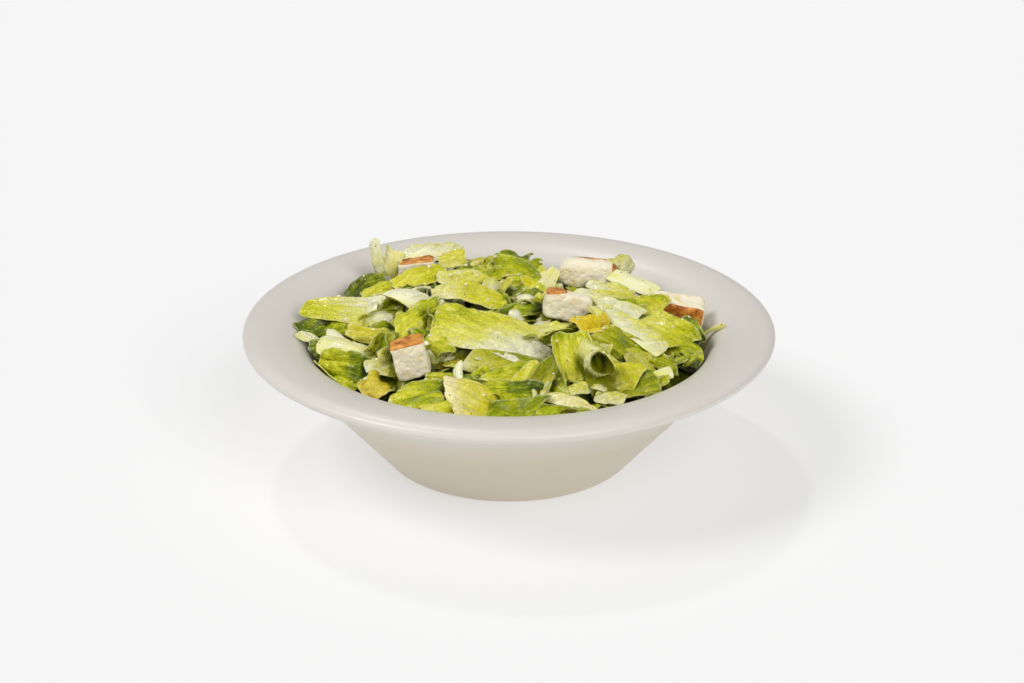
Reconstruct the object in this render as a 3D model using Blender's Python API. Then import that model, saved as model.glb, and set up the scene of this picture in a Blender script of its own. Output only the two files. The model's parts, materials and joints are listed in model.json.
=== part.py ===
"""Caesar salad in a wide-rimmed stoneware bowl: the bowl, the heap of cut lettuce and the bread croutons.

Metres, +Z up. The origin is the middle of the bowl's foot, at the height that it stands on.
"""

import math
import random

import bmesh
import bpy
from mathutils import Euler, Vector, noise

# The bowl, a turned shape
RIM_RADIUS = 0.120
RIM_TOP = 0.0640
RIM_SIDE_HEIGHT = 0.0608
CREST_RADIUS = 0.0973
CREST_HEIGHT = 0.0612
CREST_SLOPE = 24
FOOT_RADIUS = 0.0535
FOOT_INNER_RADIUS = 0.0500
FOOT_RECESS = 0.0022
WALL_SLOPE = 49
WALL_THICKNESS = 0.0066
FLOOR_HEIGHT = 0.0065
FLOOR_FILLET = 0.012
BOWL_SEGMENTS = 56

# The heap of lettuce
WALL_GAP = 0.0004
UNDERSIDE_GAP = 0.0010
POCKET_GAP = 0.0006
HEAP_TOP = 0.0710
HEAP_SHOULDER_RADIUS = 0.0715
HEAP_SHOULDER_HEIGHT = 0.0625
SHOULDER_WIDTH = 0.0075
TROUGH_HEIGHT = 0.0505
HEAP_COLUMNS = 84
HEAP_RINGS = 20
RING_SPREAD = 0.8
UNDERSIDE_RINGS = 6
UNDERSIDE_SPREAD = 1.6
LEAF_EDGE_POWER = 3.2
LEAF_CROWN = 0.0012
LEAF_RIB_DEPTH = 0.0010
LEAF_RIB_WIDTH = 0.16
LEAF_SEED = 11

# Rings of cut leaves in the heap: distance from the middle, how many, length, width, lift above the dome
LEAF_RINGS = (
    (0.016, 3, 0.050, 0.030, 0.0030),
    (0.040, 7, 0.048, 0.027, 0.0034),
    (0.062, 11, 0.042, 0.025, 0.0038),
)

# Leaves that give the heap its outline: x, y, lift, heading, length, width, rise along, rise across
OUTLINE_LEAVES = {
    "broad_leaf": (-0.006, -0.030, 0.0045, -22, 0.060, 0.032, -0.003, 0.002),
    "left_leaf": (-0.066, -0.006, 0.0040, 172, 0.046, 0.020, -0.004, 0.002),
    "right_leaf": (0.064, -0.022, 0.0040, -12, 0.046, 0.026, -0.004, 0.003),
    "back_leaf": (-0.004, 0.058, 0.0045, 12, 0.040, 0.020, 0.001, 0.003),
    "back_left_leaf": (-0.040, 0.058, 0.0055, 20, 0.036, 0.018, 0.001, 0.002),
    "upright_leaf": (-0.052, 0.045, 0.0180, 38, 0.018, 0.012, 0.002, 0.000),
}

# Leaf ends that lean out over the trough on the bowl's wall: azimuth, half width in degrees, rise
LEANING_ENDS = (
    (184, 15, 0.0080),
    (-14, 13, 0.0075),
    (-38, 9, 0.0045),
    (-66, 10, 0.0025),
    (-94, 13, 0.0045),
    (-122, 9, 0.0025),
    (-146, 11, 0.0050),
    (62, 8, 0.0030),
    (118, 9, 0.0060),
)

# Croutons: centre, size along their own X, Y and Z, tilt about X, Y and Z in degrees, and how square they are
CROUTONS = {
    "crouton_front_left": ((-0.0425, -0.0495, 0.0672), (0.0148, 0.0130, 0.0164), (-6, -14, 4), 9.0),
    "crouton_centre": ((0.0262, -0.0060, 0.0735), (0.0215, 0.0140, 0.0130), (-12, 12, -4), 4.5),
    "crouton_back_right": ((0.0370, 0.0390, 0.0715), (0.0275, 0.0170, 0.0145), (-10, 3, -6), 3.6),
    "crouton_right": ((0.0765, 0.0120, 0.0635), (0.0250, 0.0140, 0.0130), (4, 8, -6), 5.5),
    "crouton_back_left": ((-0.0430, 0.0480, 0.0690), (0.0175, 0.0130, 0.0120), (-8, -5, 4), 6.0),
}
CROUTON_FOOTPRINT = 0.55
CROUTON_CUTS = 3
CROUTON_LUMPS = 0.0005
CROUTON_LUMP_SCALE = 1.7


def clear_scene():
    for old in list(bpy.data.objects):
        bpy.data.objects.remove(old, do_unlink=True)


def material(name, colour, roughness):
    made = bpy.data.materials.new(name)
    made.use_nodes = True
    shader = made.node_tree.nodes["Principled BSDF"]
    shader.inputs["Base Color"].default_value = (*colour, 1.0)
    shader.inputs["Roughness"].default_value = roughness
    shader.inputs["Metallic"].default_value = 0.0
    made.diffuse_color = (*colour, 1.0)
    return made


def object_from(name, bm, finish, sharp_degrees=40):
    """The bmesh as a smooth-shaded object of this name, with its faces pointing out."""
    bmesh.ops.recalc_face_normals(bm, faces=bm.faces)
    mesh = bpy.data.meshes.new(name)
    bm.to_mesh(mesh)
    bm.free()
    mesh.shade_smooth()
    mesh.set_sharp_from_angle(angle=math.radians(sharp_degrees))
    mesh.materials.append(finish)
    made = bpy.data.objects.new(name, mesh)
    bpy.context.scene.collection.objects.link(made)
    return made


def curve_span(start, end, steps):
    """Points after start on the cubic curve between two stations, each of radius, height and heading."""
    (r0, z0, a0), (r1, z1, a1) = start, end
    chord = math.hypot(r1 - r0, z1 - z0)
    d0 = (chord * math.cos(math.radians(a0)), chord * math.sin(math.radians(a0)))
    d1 = (chord * math.cos(math.radians(a1)), chord * math.sin(math.radians(a1)))
    points = []
    for step in range(1, steps + 1):
        t = step / steps
        h0 = 2 * t**3 - 3 * t**2 + 1
        g0 = t**3 - 2 * t**2 + t
        h1 = 3 * t**2 - 2 * t**3
        g1 = t**3 - t**2
        r = h0 * r0 + g0 * d0[0] + h1 * r1 + g1 * d1[0]
        z = h0 * z0 + g0 * d0[1] + h1 * z1 + g1 * d1[1]
        points.append((r, z))
    return points


def bowl_section():
    """Radius and height of the section, from the axis under the bowl, round the rim, to the axis inside.

    Each station is a radius, a height, the heading of the outline there, and the steps that lead to it.
    A heading of 0 points away from the axis and 90 points up.
    """
    run = math.cos(math.radians(WALL_SLOPE))
    climb = math.sin(math.radians(WALL_SLOPE))
    wall_foot = (FOOT_RADIUS + 0.0040, 0.0022)
    wall_length = 0.0565
    wall_top = (wall_foot[0] + wall_length * run, wall_foot[1] + wall_length * climb)
    inner_shift = WALL_THICKNESS / climb
    corner_radius = wall_foot[0] - inner_shift + (FLOOR_HEIGHT - wall_foot[1]) * run / climb
    tangent = FLOOR_FILLET * math.tan(math.radians(WALL_SLOPE / 2))
    fillet_top = (corner_radius + tangent * run, FLOOR_HEIGHT + tangent * climb)
    inner_top_height = 0.0440
    inner_top_radius = corner_radius + (inner_top_height - FLOOR_HEIGHT) * run / climb
    stations = (
        (0.0, FOOT_RECESS, 0, 0),
        (FOOT_INNER_RADIUS - 0.003, FOOT_RECESS, 0, 1),
        (FOOT_INNER_RADIUS, 0.0, 0, 3),
        (FOOT_RADIUS, 0.0, 0, 1),
        (*wall_foot, WALL_SLOPE, 3),
        (*wall_top, WALL_SLOPE, 1),
        (0.1080, 0.0553, 27, 3),
        (0.1165, 0.0577, 10, 2),
        (RIM_RADIUS, RIM_SIDE_HEIGHT, 90, 4),
        (0.1132, RIM_TOP, 180, 4),
        (CREST_RADIUS, CREST_HEIGHT, 180 + CREST_SLOPE, 4),
        (0.0912, 0.0560, 240, 3),
        (inner_top_radius, inner_top_height, 180 + WALL_SLOPE, 2),
        (*fillet_top, 180 + WALL_SLOPE, 1),
        (corner_radius - tangent, FLOOR_HEIGHT, 180, 3),
        (0.0, FLOOR_HEIGHT, 180, 1),
    )
    points = [stations[0][:2]]
    for start, end in zip(stations, stations[1:]):
        points += curve_span(start[:3], end[:3], end[3])
    return points


def make_bowl(section, finish):
    bm = bmesh.new()
    corners = [bm.verts.new((r, 0.0, z)) for r, z in section]
    edges = [bm.edges.new(pair) for pair in zip(corners, corners[1:])]
    bmesh.ops.spin(
        bm,
        geom=corners + edges,
        axis=(0, 0, 1),
        cent=(0, 0, 0),
        angle=math.tau,
        steps=BOWL_SEGMENTS,
        use_merge=True,
    )
    bmesh.ops.remove_doubles(bm, verts=bm.verts, dist=0.00002)
    return object_from("bowl", bm, finish)


def inner_radius(section, height):
    """The inside radius of the bowl at this height, below the crest."""
    crest = section.index(min(section, key=lambda p: math.hypot(p[0] - CREST_RADIUS, p[1] - CREST_HEIGHT)))
    inside = section[crest:]
    for (r0, z0), (r1, z1) in zip(inside, inside[1:]):
        if z1 <= height <= z0 and z0 > z1:
            return r1 + (r0 - r1) * (height - z1) / (z0 - z1)
    return inside[0][0]


def smooth_step(x):
    x = min(max(x, 0.0), 1.0)
    return x * x * (3 - 2 * x)


def edge_height(azimuth):
    """Height at which the heap meets the bowl's wall at this azimuth, in radians."""
    height = TROUGH_HEIGHT
    for middle, half_width, rise in LEANING_ENDS:
        away = math.degrees(azimuth) - middle
        away = abs((away + 180) % 360 - 180) / half_width
        height += rise * (1 - smooth_step(away))
    return height


def shoulder_radius(edge):
    """Where the dome ends: further out where a leaf end leans on the wall."""
    return HEAP_SHOULDER_RADIUS + (edge - TROUGH_HEIGHT) / 2


def dome_height(radius, edge):
    """The heap without its leaves: a dome, a shoulder, and a trough along the wall."""
    shoulder = shoulder_radius(edge)
    if radius < shoulder:
        return HEAP_TOP - (HEAP_TOP - HEAP_SHOULDER_HEIGHT) * (radius / shoulder) ** 3
    out = (radius - shoulder) / SHOULDER_WIDTH
    return HEAP_SHOULDER_HEIGHT + (edge - HEAP_SHOULDER_HEIGHT) * smooth_step(out)


def leaf_patches():
    """The leaves in the heap's surface: x, y, height, heading, length, width, rise along and across."""
    rng = random.Random(LEAF_SEED)
    patches = []
    for distance, count, length, width, lift in LEAF_RINGS:
        for k in range(count):
            azimuth = math.tau * (k + rng.uniform(0.1, 0.7)) / count
            heading = azimuth + math.radians(rng.uniform(30, 150))
            reach = distance * rng.uniform(0.9, 1.08)
            height = dome_height(reach, TROUGH_HEIGHT) + lift * rng.uniform(0.3, 1.2)
            rise = rng.uniform(-0.003, 0.003)
            roll = rng.choice((-1, 1)) * rng.uniform(0.0015, 0.004)
            x = reach * math.cos(azimuth)
            y = reach * math.sin(azimuth)
            grown = rng.uniform(0.8, 1.15)
            patches.append((x, y, height, heading, length * grown, width * grown, rise, roll))
    for x, y, lift, heading, length, width, rise, roll in OUTLINE_LEAVES.values():
        height = dome_height(math.hypot(x, y), TROUGH_HEIGHT) + lift
        patches.append((x, y, height, math.radians(heading), length, width, rise, roll))
    return patches


def heap_height(x, y, edge, patches):
    """The height of the heap's surface: the highest of the dome and the leaves that lie over the point.

    Under a crouton it comes no higher than the crouton's middle.
    """
    radius = math.hypot(x, y)
    height = dome_height(radius, edge)
    for px, py, top, heading, length, width, rise, roll in patches:
        along = (x - px) * math.cos(heading) + (y - py) * math.sin(heading)
        across = (y - py) * math.cos(heading) - (x - px) * math.sin(heading)
        u = 2 * along / length
        v = 2 * across / width
        spread = abs(u) ** LEAF_EDGE_POWER + abs(v) ** LEAF_EDGE_POWER
        if spread < 1 and radius < shoulder_radius(edge):
            rib = LEAF_RIB_DEPTH * math.exp(-((v / LEAF_RIB_WIDTH) ** 2))
            height = max(height, top + rise * u + roll * v + LEAF_CROWN * (1 - 2 * spread) - rib)
    for centre, size, *_ in CROUTONS.values():
        footprint = CROUTON_FOOTPRINT * math.hypot(size[0], size[1])
        if math.hypot(x - centre[0], y - centre[1]) < footprint:
            height = min(height, centre[2])
    return height


def make_heap(section, finish):
    """The lettuce: an uneven top over an underside that follows the bowl, a small gap inside its wall."""
    patches = leaf_patches()
    bm = bmesh.new()
    azimuths = [math.tau * k / HEAP_COLUMNS for k in range(HEAP_COLUMNS)]
    rings = []
    for ring in range(1, HEAP_RINGS + 1):
        share = (ring / HEAP_RINGS) ** RING_SPREAD
        row = []
        for azimuth in azimuths:
            edge = edge_height(azimuth)
            radius = share * (inner_radius(section, edge) - WALL_GAP)
            x = radius * math.cos(azimuth)
            y = radius * math.sin(azimuth)
            z = edge if ring == HEAP_RINGS else heap_height(x, y, edge, patches)
            row.append(bm.verts.new((x, y, z)))
        rings.append(row)
    floor = FLOOR_HEIGHT + UNDERSIDE_GAP
    for ring in range(1, UNDERSIDE_RINGS + 1):
        share = 1 - (ring / UNDERSIDE_RINGS) ** UNDERSIDE_SPREAD
        row = []
        for azimuth in azimuths:
            height = floor + (edge_height(azimuth) - floor) * share
            radius = inner_radius(section, height) - UNDERSIDE_GAP
            row.append(bm.verts.new((radius * math.cos(azimuth), radius * math.sin(azimuth), height)))
        rings.append(row)
    for row, following in zip(rings, rings[1:]):
        for k in range(HEAP_COLUMNS):
            after = (k + 1) % HEAP_COLUMNS
            bm.faces.new((row[k], row[after], following[after], following[k]))
    middle_height = sum(vert.co.z for vert in rings[0]) / HEAP_COLUMNS
    top = bm.verts.new((0.0, 0.0, middle_height))
    bottom = bm.verts.new((0.0, 0.0, floor))
    for pole, row in ((top, rings[0]), (bottom, rings[-1])):
        for k in range(HEAP_COLUMNS):
            bm.faces.new((pole, row[k], row[(k + 1) % HEAP_COLUMNS]))
    return object_from("lettuce", bm, finish, sharp_degrees=35)


def crouton_mesh(size, squareness, key, grown):
    """A lumpy bread cube about the origin: rounded at its edges, and grown by this much on each side."""
    bm = bmesh.new()
    bmesh.ops.create_cube(bm, size=2.0)
    bmesh.ops.subdivide_edges(bm, edges=bm.edges, cuts=CROUTON_CUTS, use_grid_fill=True)
    shift = Vector((key * 3.1, key * 1.7, key * 0.9))
    for vert in bm.verts:
        spread = sum(abs(c) ** squareness for c in vert.co) ** (1 / squareness)
        place = vert.co / spread
        lump = noise.noise(place * CROUTON_LUMP_SCALE + shift) * CROUTON_LUMPS * 2
        half = [side / 2 + grown + lump for side in size]
        vert.co = Vector(place[k] * half[k] for k in range(3))
    return bm


def make_crouton(name, finish, heap):
    """One crouton, and the pocket that it has pressed into the heap."""
    centre, size, tilt, squareness = CROUTONS[name]
    key = list(CROUTONS).index(name) + 1
    turn = Euler([math.radians(angle) for angle in tilt])
    crouton = object_from(name, crouton_mesh(size, squareness, key, 0.0), finish)
    crouton.location = centre
    crouton.rotation_euler = turn
    pocket = object_from(name + "_pocket", crouton_mesh(size, squareness, key, POCKET_GAP), finish)
    pocket.location = centre
    pocket.rotation_euler = turn
    pocket.hide_render = True
    pocket.display_type = "WIRE"
    cut = heap.modifiers.new(name + "_pocket", "BOOLEAN")
    cut.operation = "DIFFERENCE"
    cut.solver = "EXACT"
    cut.object = pocket
    return crouton


def main():
    clear_scene()
    stoneware = material("cream_glaze", (0.80, 0.77, 0.70), 0.22)
    green = material("romaine", (0.42, 0.52, 0.10), 0.45)
    bread = material("bread", (0.82, 0.70, 0.50), 0.80)
    section = bowl_section()
    make_bowl(section, stoneware)
    heap = make_heap(section, green)
    for name in CROUTONS:
        make_crouton(name, bread, heap)


main()
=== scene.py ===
"""Caesar salad in a wide-rimmed stoneware bowl, dressed and lit.

Every table of sizes below is in millimetres and degrees, and the meshes are made in metres, +Z up.
The origin is the middle of the bowl's foot, at the height that it stands on.
"""

import json
import math
from collections import namedtuple

import bmesh
import bpy
import numpy as np
from mathutils import Euler, Matrix, Vector, noise

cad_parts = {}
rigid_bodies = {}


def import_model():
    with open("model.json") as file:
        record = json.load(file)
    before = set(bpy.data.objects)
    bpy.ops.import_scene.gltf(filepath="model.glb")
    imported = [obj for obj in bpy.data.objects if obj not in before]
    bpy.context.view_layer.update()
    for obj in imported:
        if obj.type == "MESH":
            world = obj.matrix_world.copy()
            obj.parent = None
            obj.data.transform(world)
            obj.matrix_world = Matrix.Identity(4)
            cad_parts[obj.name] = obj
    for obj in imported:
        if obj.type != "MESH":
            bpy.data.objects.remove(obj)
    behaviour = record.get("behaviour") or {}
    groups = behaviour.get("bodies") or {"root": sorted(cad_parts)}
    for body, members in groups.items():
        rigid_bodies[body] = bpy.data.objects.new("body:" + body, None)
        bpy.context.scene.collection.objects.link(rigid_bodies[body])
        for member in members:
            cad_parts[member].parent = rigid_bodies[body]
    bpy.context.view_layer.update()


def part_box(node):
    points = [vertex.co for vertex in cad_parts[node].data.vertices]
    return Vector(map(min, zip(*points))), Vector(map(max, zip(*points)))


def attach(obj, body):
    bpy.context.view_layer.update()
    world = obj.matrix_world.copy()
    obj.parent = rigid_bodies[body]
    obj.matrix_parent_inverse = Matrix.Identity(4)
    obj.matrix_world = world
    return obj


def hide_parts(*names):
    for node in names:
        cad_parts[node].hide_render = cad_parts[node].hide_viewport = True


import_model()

bl_info = {
    "name": "Caesar Salad Bowl",
    "version": (1, 0, 0),
    "blender": (4, 5, 0),
    "location": "3D View > Sidebar > Salad",
    "description": "Builds a bowl of caesar salad from cut leaves, croutons and dressing",
    "category": "Object",
}

MM = 0.001
SEED = 4

# The bowl's section, as the CAD has it
RIM_RADIUS = 120.0
RIM_TOP = 64.0
RIM_SIDE_HEIGHT = 60.8
CREST_RADIUS = 97.3
CREST_HEIGHT = 61.2
CREST_SLOPE = 24
FOOT_RADIUS = 53.5
FOOT_INNER_RADIUS = 50.0
FOOT_RECESS = 2.2
WALL_SLOPE = 49
WALL_THICKNESS = 6.6
FLOOR_HEIGHT = 6.5
FLOOR_FILLET = 12.0

# The heap
HEAP_CROWN = 74.0
HEAP_EDGE_RADIUS = 88.0
HEAP_EDGE_HEIGHT = 54.0
HEAP_ROUNDNESS = 2.6
CORE_DEPTH = 8.0
CORE_EDGE_HEIGHT = 47.0
WALL_CLEARANCE = 0.9

# A whole romaine leaf, from which the pieces are cut
LEAF_LENGTH = 210.0
LEAF_BROADEST = 150.0
LEAF_HALF_WIDTH = 55.0
LEAF_BASE_HALF_WIDTH = 17.0
RIB_HALF_WIDTH = 8.5
RIB_DEPTH = 3.0
VEIN_SPACING = 9.5
VEIN_RISE = 1.05


# ---------------------------------------------------------------- colours and small helpers


def linear(red, green, blue):
    """A colour given as 0 to 255 display values, as the linear values that shaders take."""
    def one(value):
        value /= 255
        return value / 12.92 if value <= 0.04045 else ((value + 0.055) / 1.055) ** 2.4
    return one(red), one(green), one(blue), 1.0


def smooth_step(x):
    x = np.clip(x, 0.0, 1.0)
    return x * x * (3 - 2 * x)


def lattice_value(ix, iy, iz, seed):
    """A repeatable value from -1 to 1 at each corner of a whole-number lattice."""
    mixed = (ix * 374761393 + iy * 668265263 + iz * 1442695041 + seed * 362437) & 0xFFFFFFFF
    mixed = ((mixed ^ (mixed >> 13)) * 1274126177) & 0xFFFFFFFF
    return ((mixed ^ (mixed >> 16)) & 0xFFFF) / 32767.5 - 1


def soft_noise(x, y, z=0.0, seed=0):
    """Smooth value noise from -1 to 1, with lumps about one unit across."""
    x, y, z = np.broadcast_arrays(x, y, z)
    cell = [np.floor(c).astype(np.int64) for c in (x, y, z)]
    part = [c - f for c, f in zip((x, y, z), cell)]
    ease = [p * p * (3 - 2 * p) for p in part]
    total = np.zeros(x.shape)
    for dx in (0, 1):
        for dy in (0, 1):
            for dz in (0, 1):
                weight = (ease[0] if dx else 1 - ease[0]) * (ease[1] if dy else 1 - ease[1])
                weight = weight * (ease[2] if dz else 1 - ease[2])
                total += weight * lattice_value(cell[0] + dx, cell[1] + dy, cell[2] + dz, seed)
    return total


def rough_noise(x, y, z=0.0, seed=0, octaves=3):
    """Several sizes of soft noise, added."""
    total = 0.0
    for octave in range(octaves):
        k = 2.03**octave
        total = total + soft_noise(x * k, y * k, np.asarray(z) * k, seed + 17 * octave) / k
    return total


class Graph:
    """A short way to add nodes to a tree and to join them up."""

    def __init__(self, tree):
        self.tree = tree

    def add(self, kind, inputs=None, **settings):
        node = self.tree.nodes.new(kind)
        for name, value in settings.items():
            setattr(node, name, value)
        for key, value in (inputs or {}).items():
            self.plug(node.inputs[key], value)
        return node

    def plug(self, socket, value):
        if isinstance(value, bpy.types.NodeSocket):
            self.tree.links.new(value, socket)
        else:
            socket.default_value = value

    def math(self, operation, a, b=0.0, c=0.0, clamp=False):
        kind = "ShaderNodeMath"
        return self.add(kind, {0: a, 1: b, 2: c}, operation=operation, use_clamp=clamp).outputs[0]

    def vector_math(self, operation, a, b):
        return self.add("ShaderNodeVectorMath", {0: a, 1: b}, operation=operation).outputs[0]

    def span(self, value, low, high, to_low=0.0, to_high=1.0):
        """The value's place from low to high, as a smooth step between two results."""
        kind = "ShaderNodeMapRange"
        inputs = {0: value, 1: low, 2: high, 3: to_low, 4: to_high}
        return self.add(kind, inputs, interpolation_type="SMOOTHSTEP").outputs[0]

    def mix(self, factor, a, b, blend_type="MIX"):
        inputs = {0: factor, 6: a, 7: b}
        node = self.add("ShaderNodeMix", inputs, data_type="RGBA", blend_type=blend_type)
        return node.outputs[2]

    def attribute(self, name, output="Fac"):
        return self.add("ShaderNodeAttribute", attribute_name=name).outputs[output]

    def noise(self, place, scale, detail=3.0, roughness=0.55, distortion=0.0):
        inputs = {"Vector": place, "Scale": scale, "Detail": detail, "Roughness": roughness}
        inputs["Distortion"] = distortion
        return self.add("ShaderNodeTexNoise", inputs).outputs[0]

    def cells(self, place, scale, feature="F1", randomness=1.0):
        inputs = {"Vector": place, "Scale": scale, "Randomness": randomness}
        return self.add("ShaderNodeTexVoronoi", inputs, feature=feature).outputs["Distance"]

    def ramp(self, factor, stops):
        node = self.add("ShaderNodeValToRGB", {0: factor})
        elements = node.color_ramp.elements
        while len(elements) < len(stops):
            elements.new(0.5)
        for element, (position, colour) in zip(elements, stops):
            element.position = position
            element.color = colour
        return node.outputs[0]

    def bump(self, height, strength, distance, normal=None):
        inputs = {"Height": height, "Strength": strength, "Distance": distance}
        if normal is not None:
            inputs["Normal"] = normal
        return self.add("ShaderNodeBump", inputs).outputs[0]


def shader(name):
    """A new material's graph, and its surface node."""
    material = bpy.data.materials.new(name)
    material.use_nodes = True
    return material, Graph(material.node_tree), material.node_tree.nodes["Principled BSDF"]


def object_coordinates(graph):
    return graph.add("ShaderNodeTexCoord").outputs["Object"]


def mesh_object(name, points, faces, material, fields=None, sharp_degrees=50):
    """A smooth-shaded object from points in millimetres, with a value or vector field on its points."""
    mesh = bpy.data.meshes.new(name)
    faces = np.asarray(faces, np.int64)
    mesh.vertices.add(len(points))
    mesh.vertices.foreach_set("co", (np.asarray(points) * MM).astype(np.float32).ravel())
    mesh.loops.add(faces.size)
    mesh.loops.foreach_set("vertex_index", faces.ravel().astype(np.int32))
    mesh.polygons.add(len(faces))
    mesh.polygons.foreach_set("loop_start", np.arange(0, faces.size, faces.shape[1], dtype=np.int32))
    mesh.update(calc_edges=True)
    mesh.validate()
    for key, values in (fields or {}).items():
        values = np.asarray(values, np.float32)
        kind = "FLOAT" if values.ndim == 1 else "FLOAT_VECTOR"
        slot = "value" if values.ndim == 1 else "vector"
        mesh.attributes.new(key, kind, "POINT").data.foreach_set(slot, values.ravel())
    mesh.shade_smooth()
    if sharp_degrees:
        mesh.set_sharp_from_angle(angle=math.radians(sharp_degrees))
    mesh.materials.append(material)
    made = bpy.data.objects.new(name, mesh)
    bpy.context.scene.collection.objects.link(made)
    return made


def realised(carrier, name):
    """The plain mesh that a node tree makes on its carrier, as a new object. The carrier is removed."""
    graph = bpy.context.evaluated_depsgraph_get()
    graph.update()
    mesh = bpy.data.meshes.new_from_object(carrier.evaluated_get(graph))
    mesh.name = name
    carrier.modifiers.clear()
    bpy.data.objects.remove(carrier, do_unlink=True)
    made = bpy.data.objects.new(name, mesh)
    bpy.context.scene.collection.objects.link(made)
    return made


def node_tree(name, inputs):
    """A geometry node tree with named inputs, its group nodes, and its inputs' identifiers."""
    tree = bpy.data.node_groups.new(name, "GeometryNodeTree")
    tree.interface.new_socket("Geometry", in_out="INPUT", socket_type="NodeSocketGeometry")
    tree.interface.new_socket("Geometry", in_out="OUTPUT", socket_type="NodeSocketGeometry")
    identifiers = {}
    for label, kind in inputs.items():
        socket = tree.interface.new_socket(label, in_out="INPUT", socket_type="NodeSocket" + kind)
        identifiers[label] = socket.identifier
    graph = Graph(tree)
    return graph, graph.add("NodeGroupInput"), graph.add("NodeGroupOutput"), identifiers


def add_tree(carrier, graph, identifiers, values):
    """Puts the tree on the carrier as a modifier and sets its inputs by their identifiers."""
    modifier = carrier.modifiers.new(graph.tree.name, "NODES")
    modifier.node_group = graph.tree
    for label, value in values.items():
        modifier[identifiers[label]] = value
    return modifier


def finish_piece(piece, slot, *nodes):
    """Says which body a piece rides on and hides the CAD nodes that it stands for. Its slot is not used."""
    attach(piece, "root")
    for node in nodes:
        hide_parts(node)


# ---------------------------------------------------------------- the bowl


def curve_span(start, end, steps):
    """Points after start on the cubic curve between two stations, each of radius, height and heading."""
    (r0, z0, a0), (r1, z1, a1) = start, end
    chord = math.hypot(r1 - r0, z1 - z0)
    d0 = (chord * math.cos(math.radians(a0)), chord * math.sin(math.radians(a0)))
    d1 = (chord * math.cos(math.radians(a1)), chord * math.sin(math.radians(a1)))
    points = []
    for step in range(1, steps + 1):
        t = step / steps
        h0 = 2 * t**3 - 3 * t**2 + 1
        g0 = t**3 - 2 * t**2 + t
        h1 = 3 * t**2 - 2 * t**3
        g1 = t**3 - t**2
        r = h0 * r0 + g0 * d0[0] + h1 * r1 + g1 * d1[0]
        z = h0 * z0 + g0 * d0[1] + h1 * z1 + g1 * d1[1]
        points.append((r, z))
    return points


def bowl_section(fineness):
    """Radius and height of the section, from the axis under the bowl, round the rim, to the axis inside."""
    run = math.cos(math.radians(WALL_SLOPE))
    climb = math.sin(math.radians(WALL_SLOPE))
    wall_foot = (FOOT_RADIUS + 4.0, 2.2)
    wall_length = 56.5
    wall_top = (wall_foot[0] + wall_length * run, wall_foot[1] + wall_length * climb)
    corner_radius = wall_foot[0] - WALL_THICKNESS / climb + (FLOOR_HEIGHT - wall_foot[1]) * run / climb
    tangent = FLOOR_FILLET * math.tan(math.radians(WALL_SLOPE / 2))
    fillet_top = (corner_radius + tangent * run, FLOOR_HEIGHT + tangent * climb)
    inner_top_height = 44.0
    inner_top_radius = corner_radius + (inner_top_height - FLOOR_HEIGHT) * run / climb
    stations = (
        (0.0, FOOT_RECESS, 0, 0),
        (FOOT_INNER_RADIUS - 3.0, FOOT_RECESS, 0, 2),
        (FOOT_INNER_RADIUS, 0.0, 0, 2),
        (FOOT_RADIUS, 0.0, 0, 1),
        (*wall_foot, WALL_SLOPE, 2),
        (*wall_top, WALL_SLOPE, 4),
        (108.0, 55.3, 27, 2),
        (116.5, 57.7, 10, 2),
        (RIM_RADIUS, RIM_SIDE_HEIGHT, 90, 3),
        (113.2, RIM_TOP, 180, 3),
        (CREST_RADIUS, CREST_HEIGHT, 180 + CREST_SLOPE, 3),
        (91.2, 56.0, 240, 3),
        (inner_top_radius, inner_top_height, 180 + WALL_SLOPE, 3),
        (*fillet_top, 180 + WALL_SLOPE, 3),
        (corner_radius - tangent, FLOOR_HEIGHT, 180, 2),
        (0.0, FLOOR_HEIGHT, 180, 2),
    )
    points = [stations[0][:2]]
    for start, end in zip(stations, stations[1:]):
        points += curve_span(start[:3], end[:3], end[3] * fineness)
    return points


def inner_wall():
    """Radii from the axis out to the crest, and the height of the bowl's inside at each."""
    section = bowl_section(4)
    crest = min(range(len(section)), key=lambda k: math.dist(section[k], (CREST_RADIUS, CREST_HEIGHT)))
    inside = section[crest:][::-1]
    return np.array([p[0] for p in inside]), np.array([p[1] for p in inside])


WALL_RADII, WALL_HEIGHTS = inner_wall()


def clear_of_wall(points, clearance):
    """How far to move points, in millimetres, so that they stay this far inside the bowl's wall."""
    moved = np.array(points, float)
    for _ in range(3):
        radius = np.hypot(moved[..., 0], moved[..., 1]) + 1e-6
        height = np.interp(radius, WALL_RADII, WALL_HEIGHTS)
        slope = np.interp(radius + 1, WALL_RADII, WALL_HEIGHTS) - height
        level = 1 / np.sqrt(1 + slope**2)
        short = np.clip(clearance - (moved[..., 2] - height) * level, 0, None)
        inward = -slope * level * short / radius
        moved[..., 0] += moved[..., 0] * inward
        moved[..., 1] += moved[..., 1] * inward
        moved[..., 2] += level * short
    return moved - points


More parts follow.
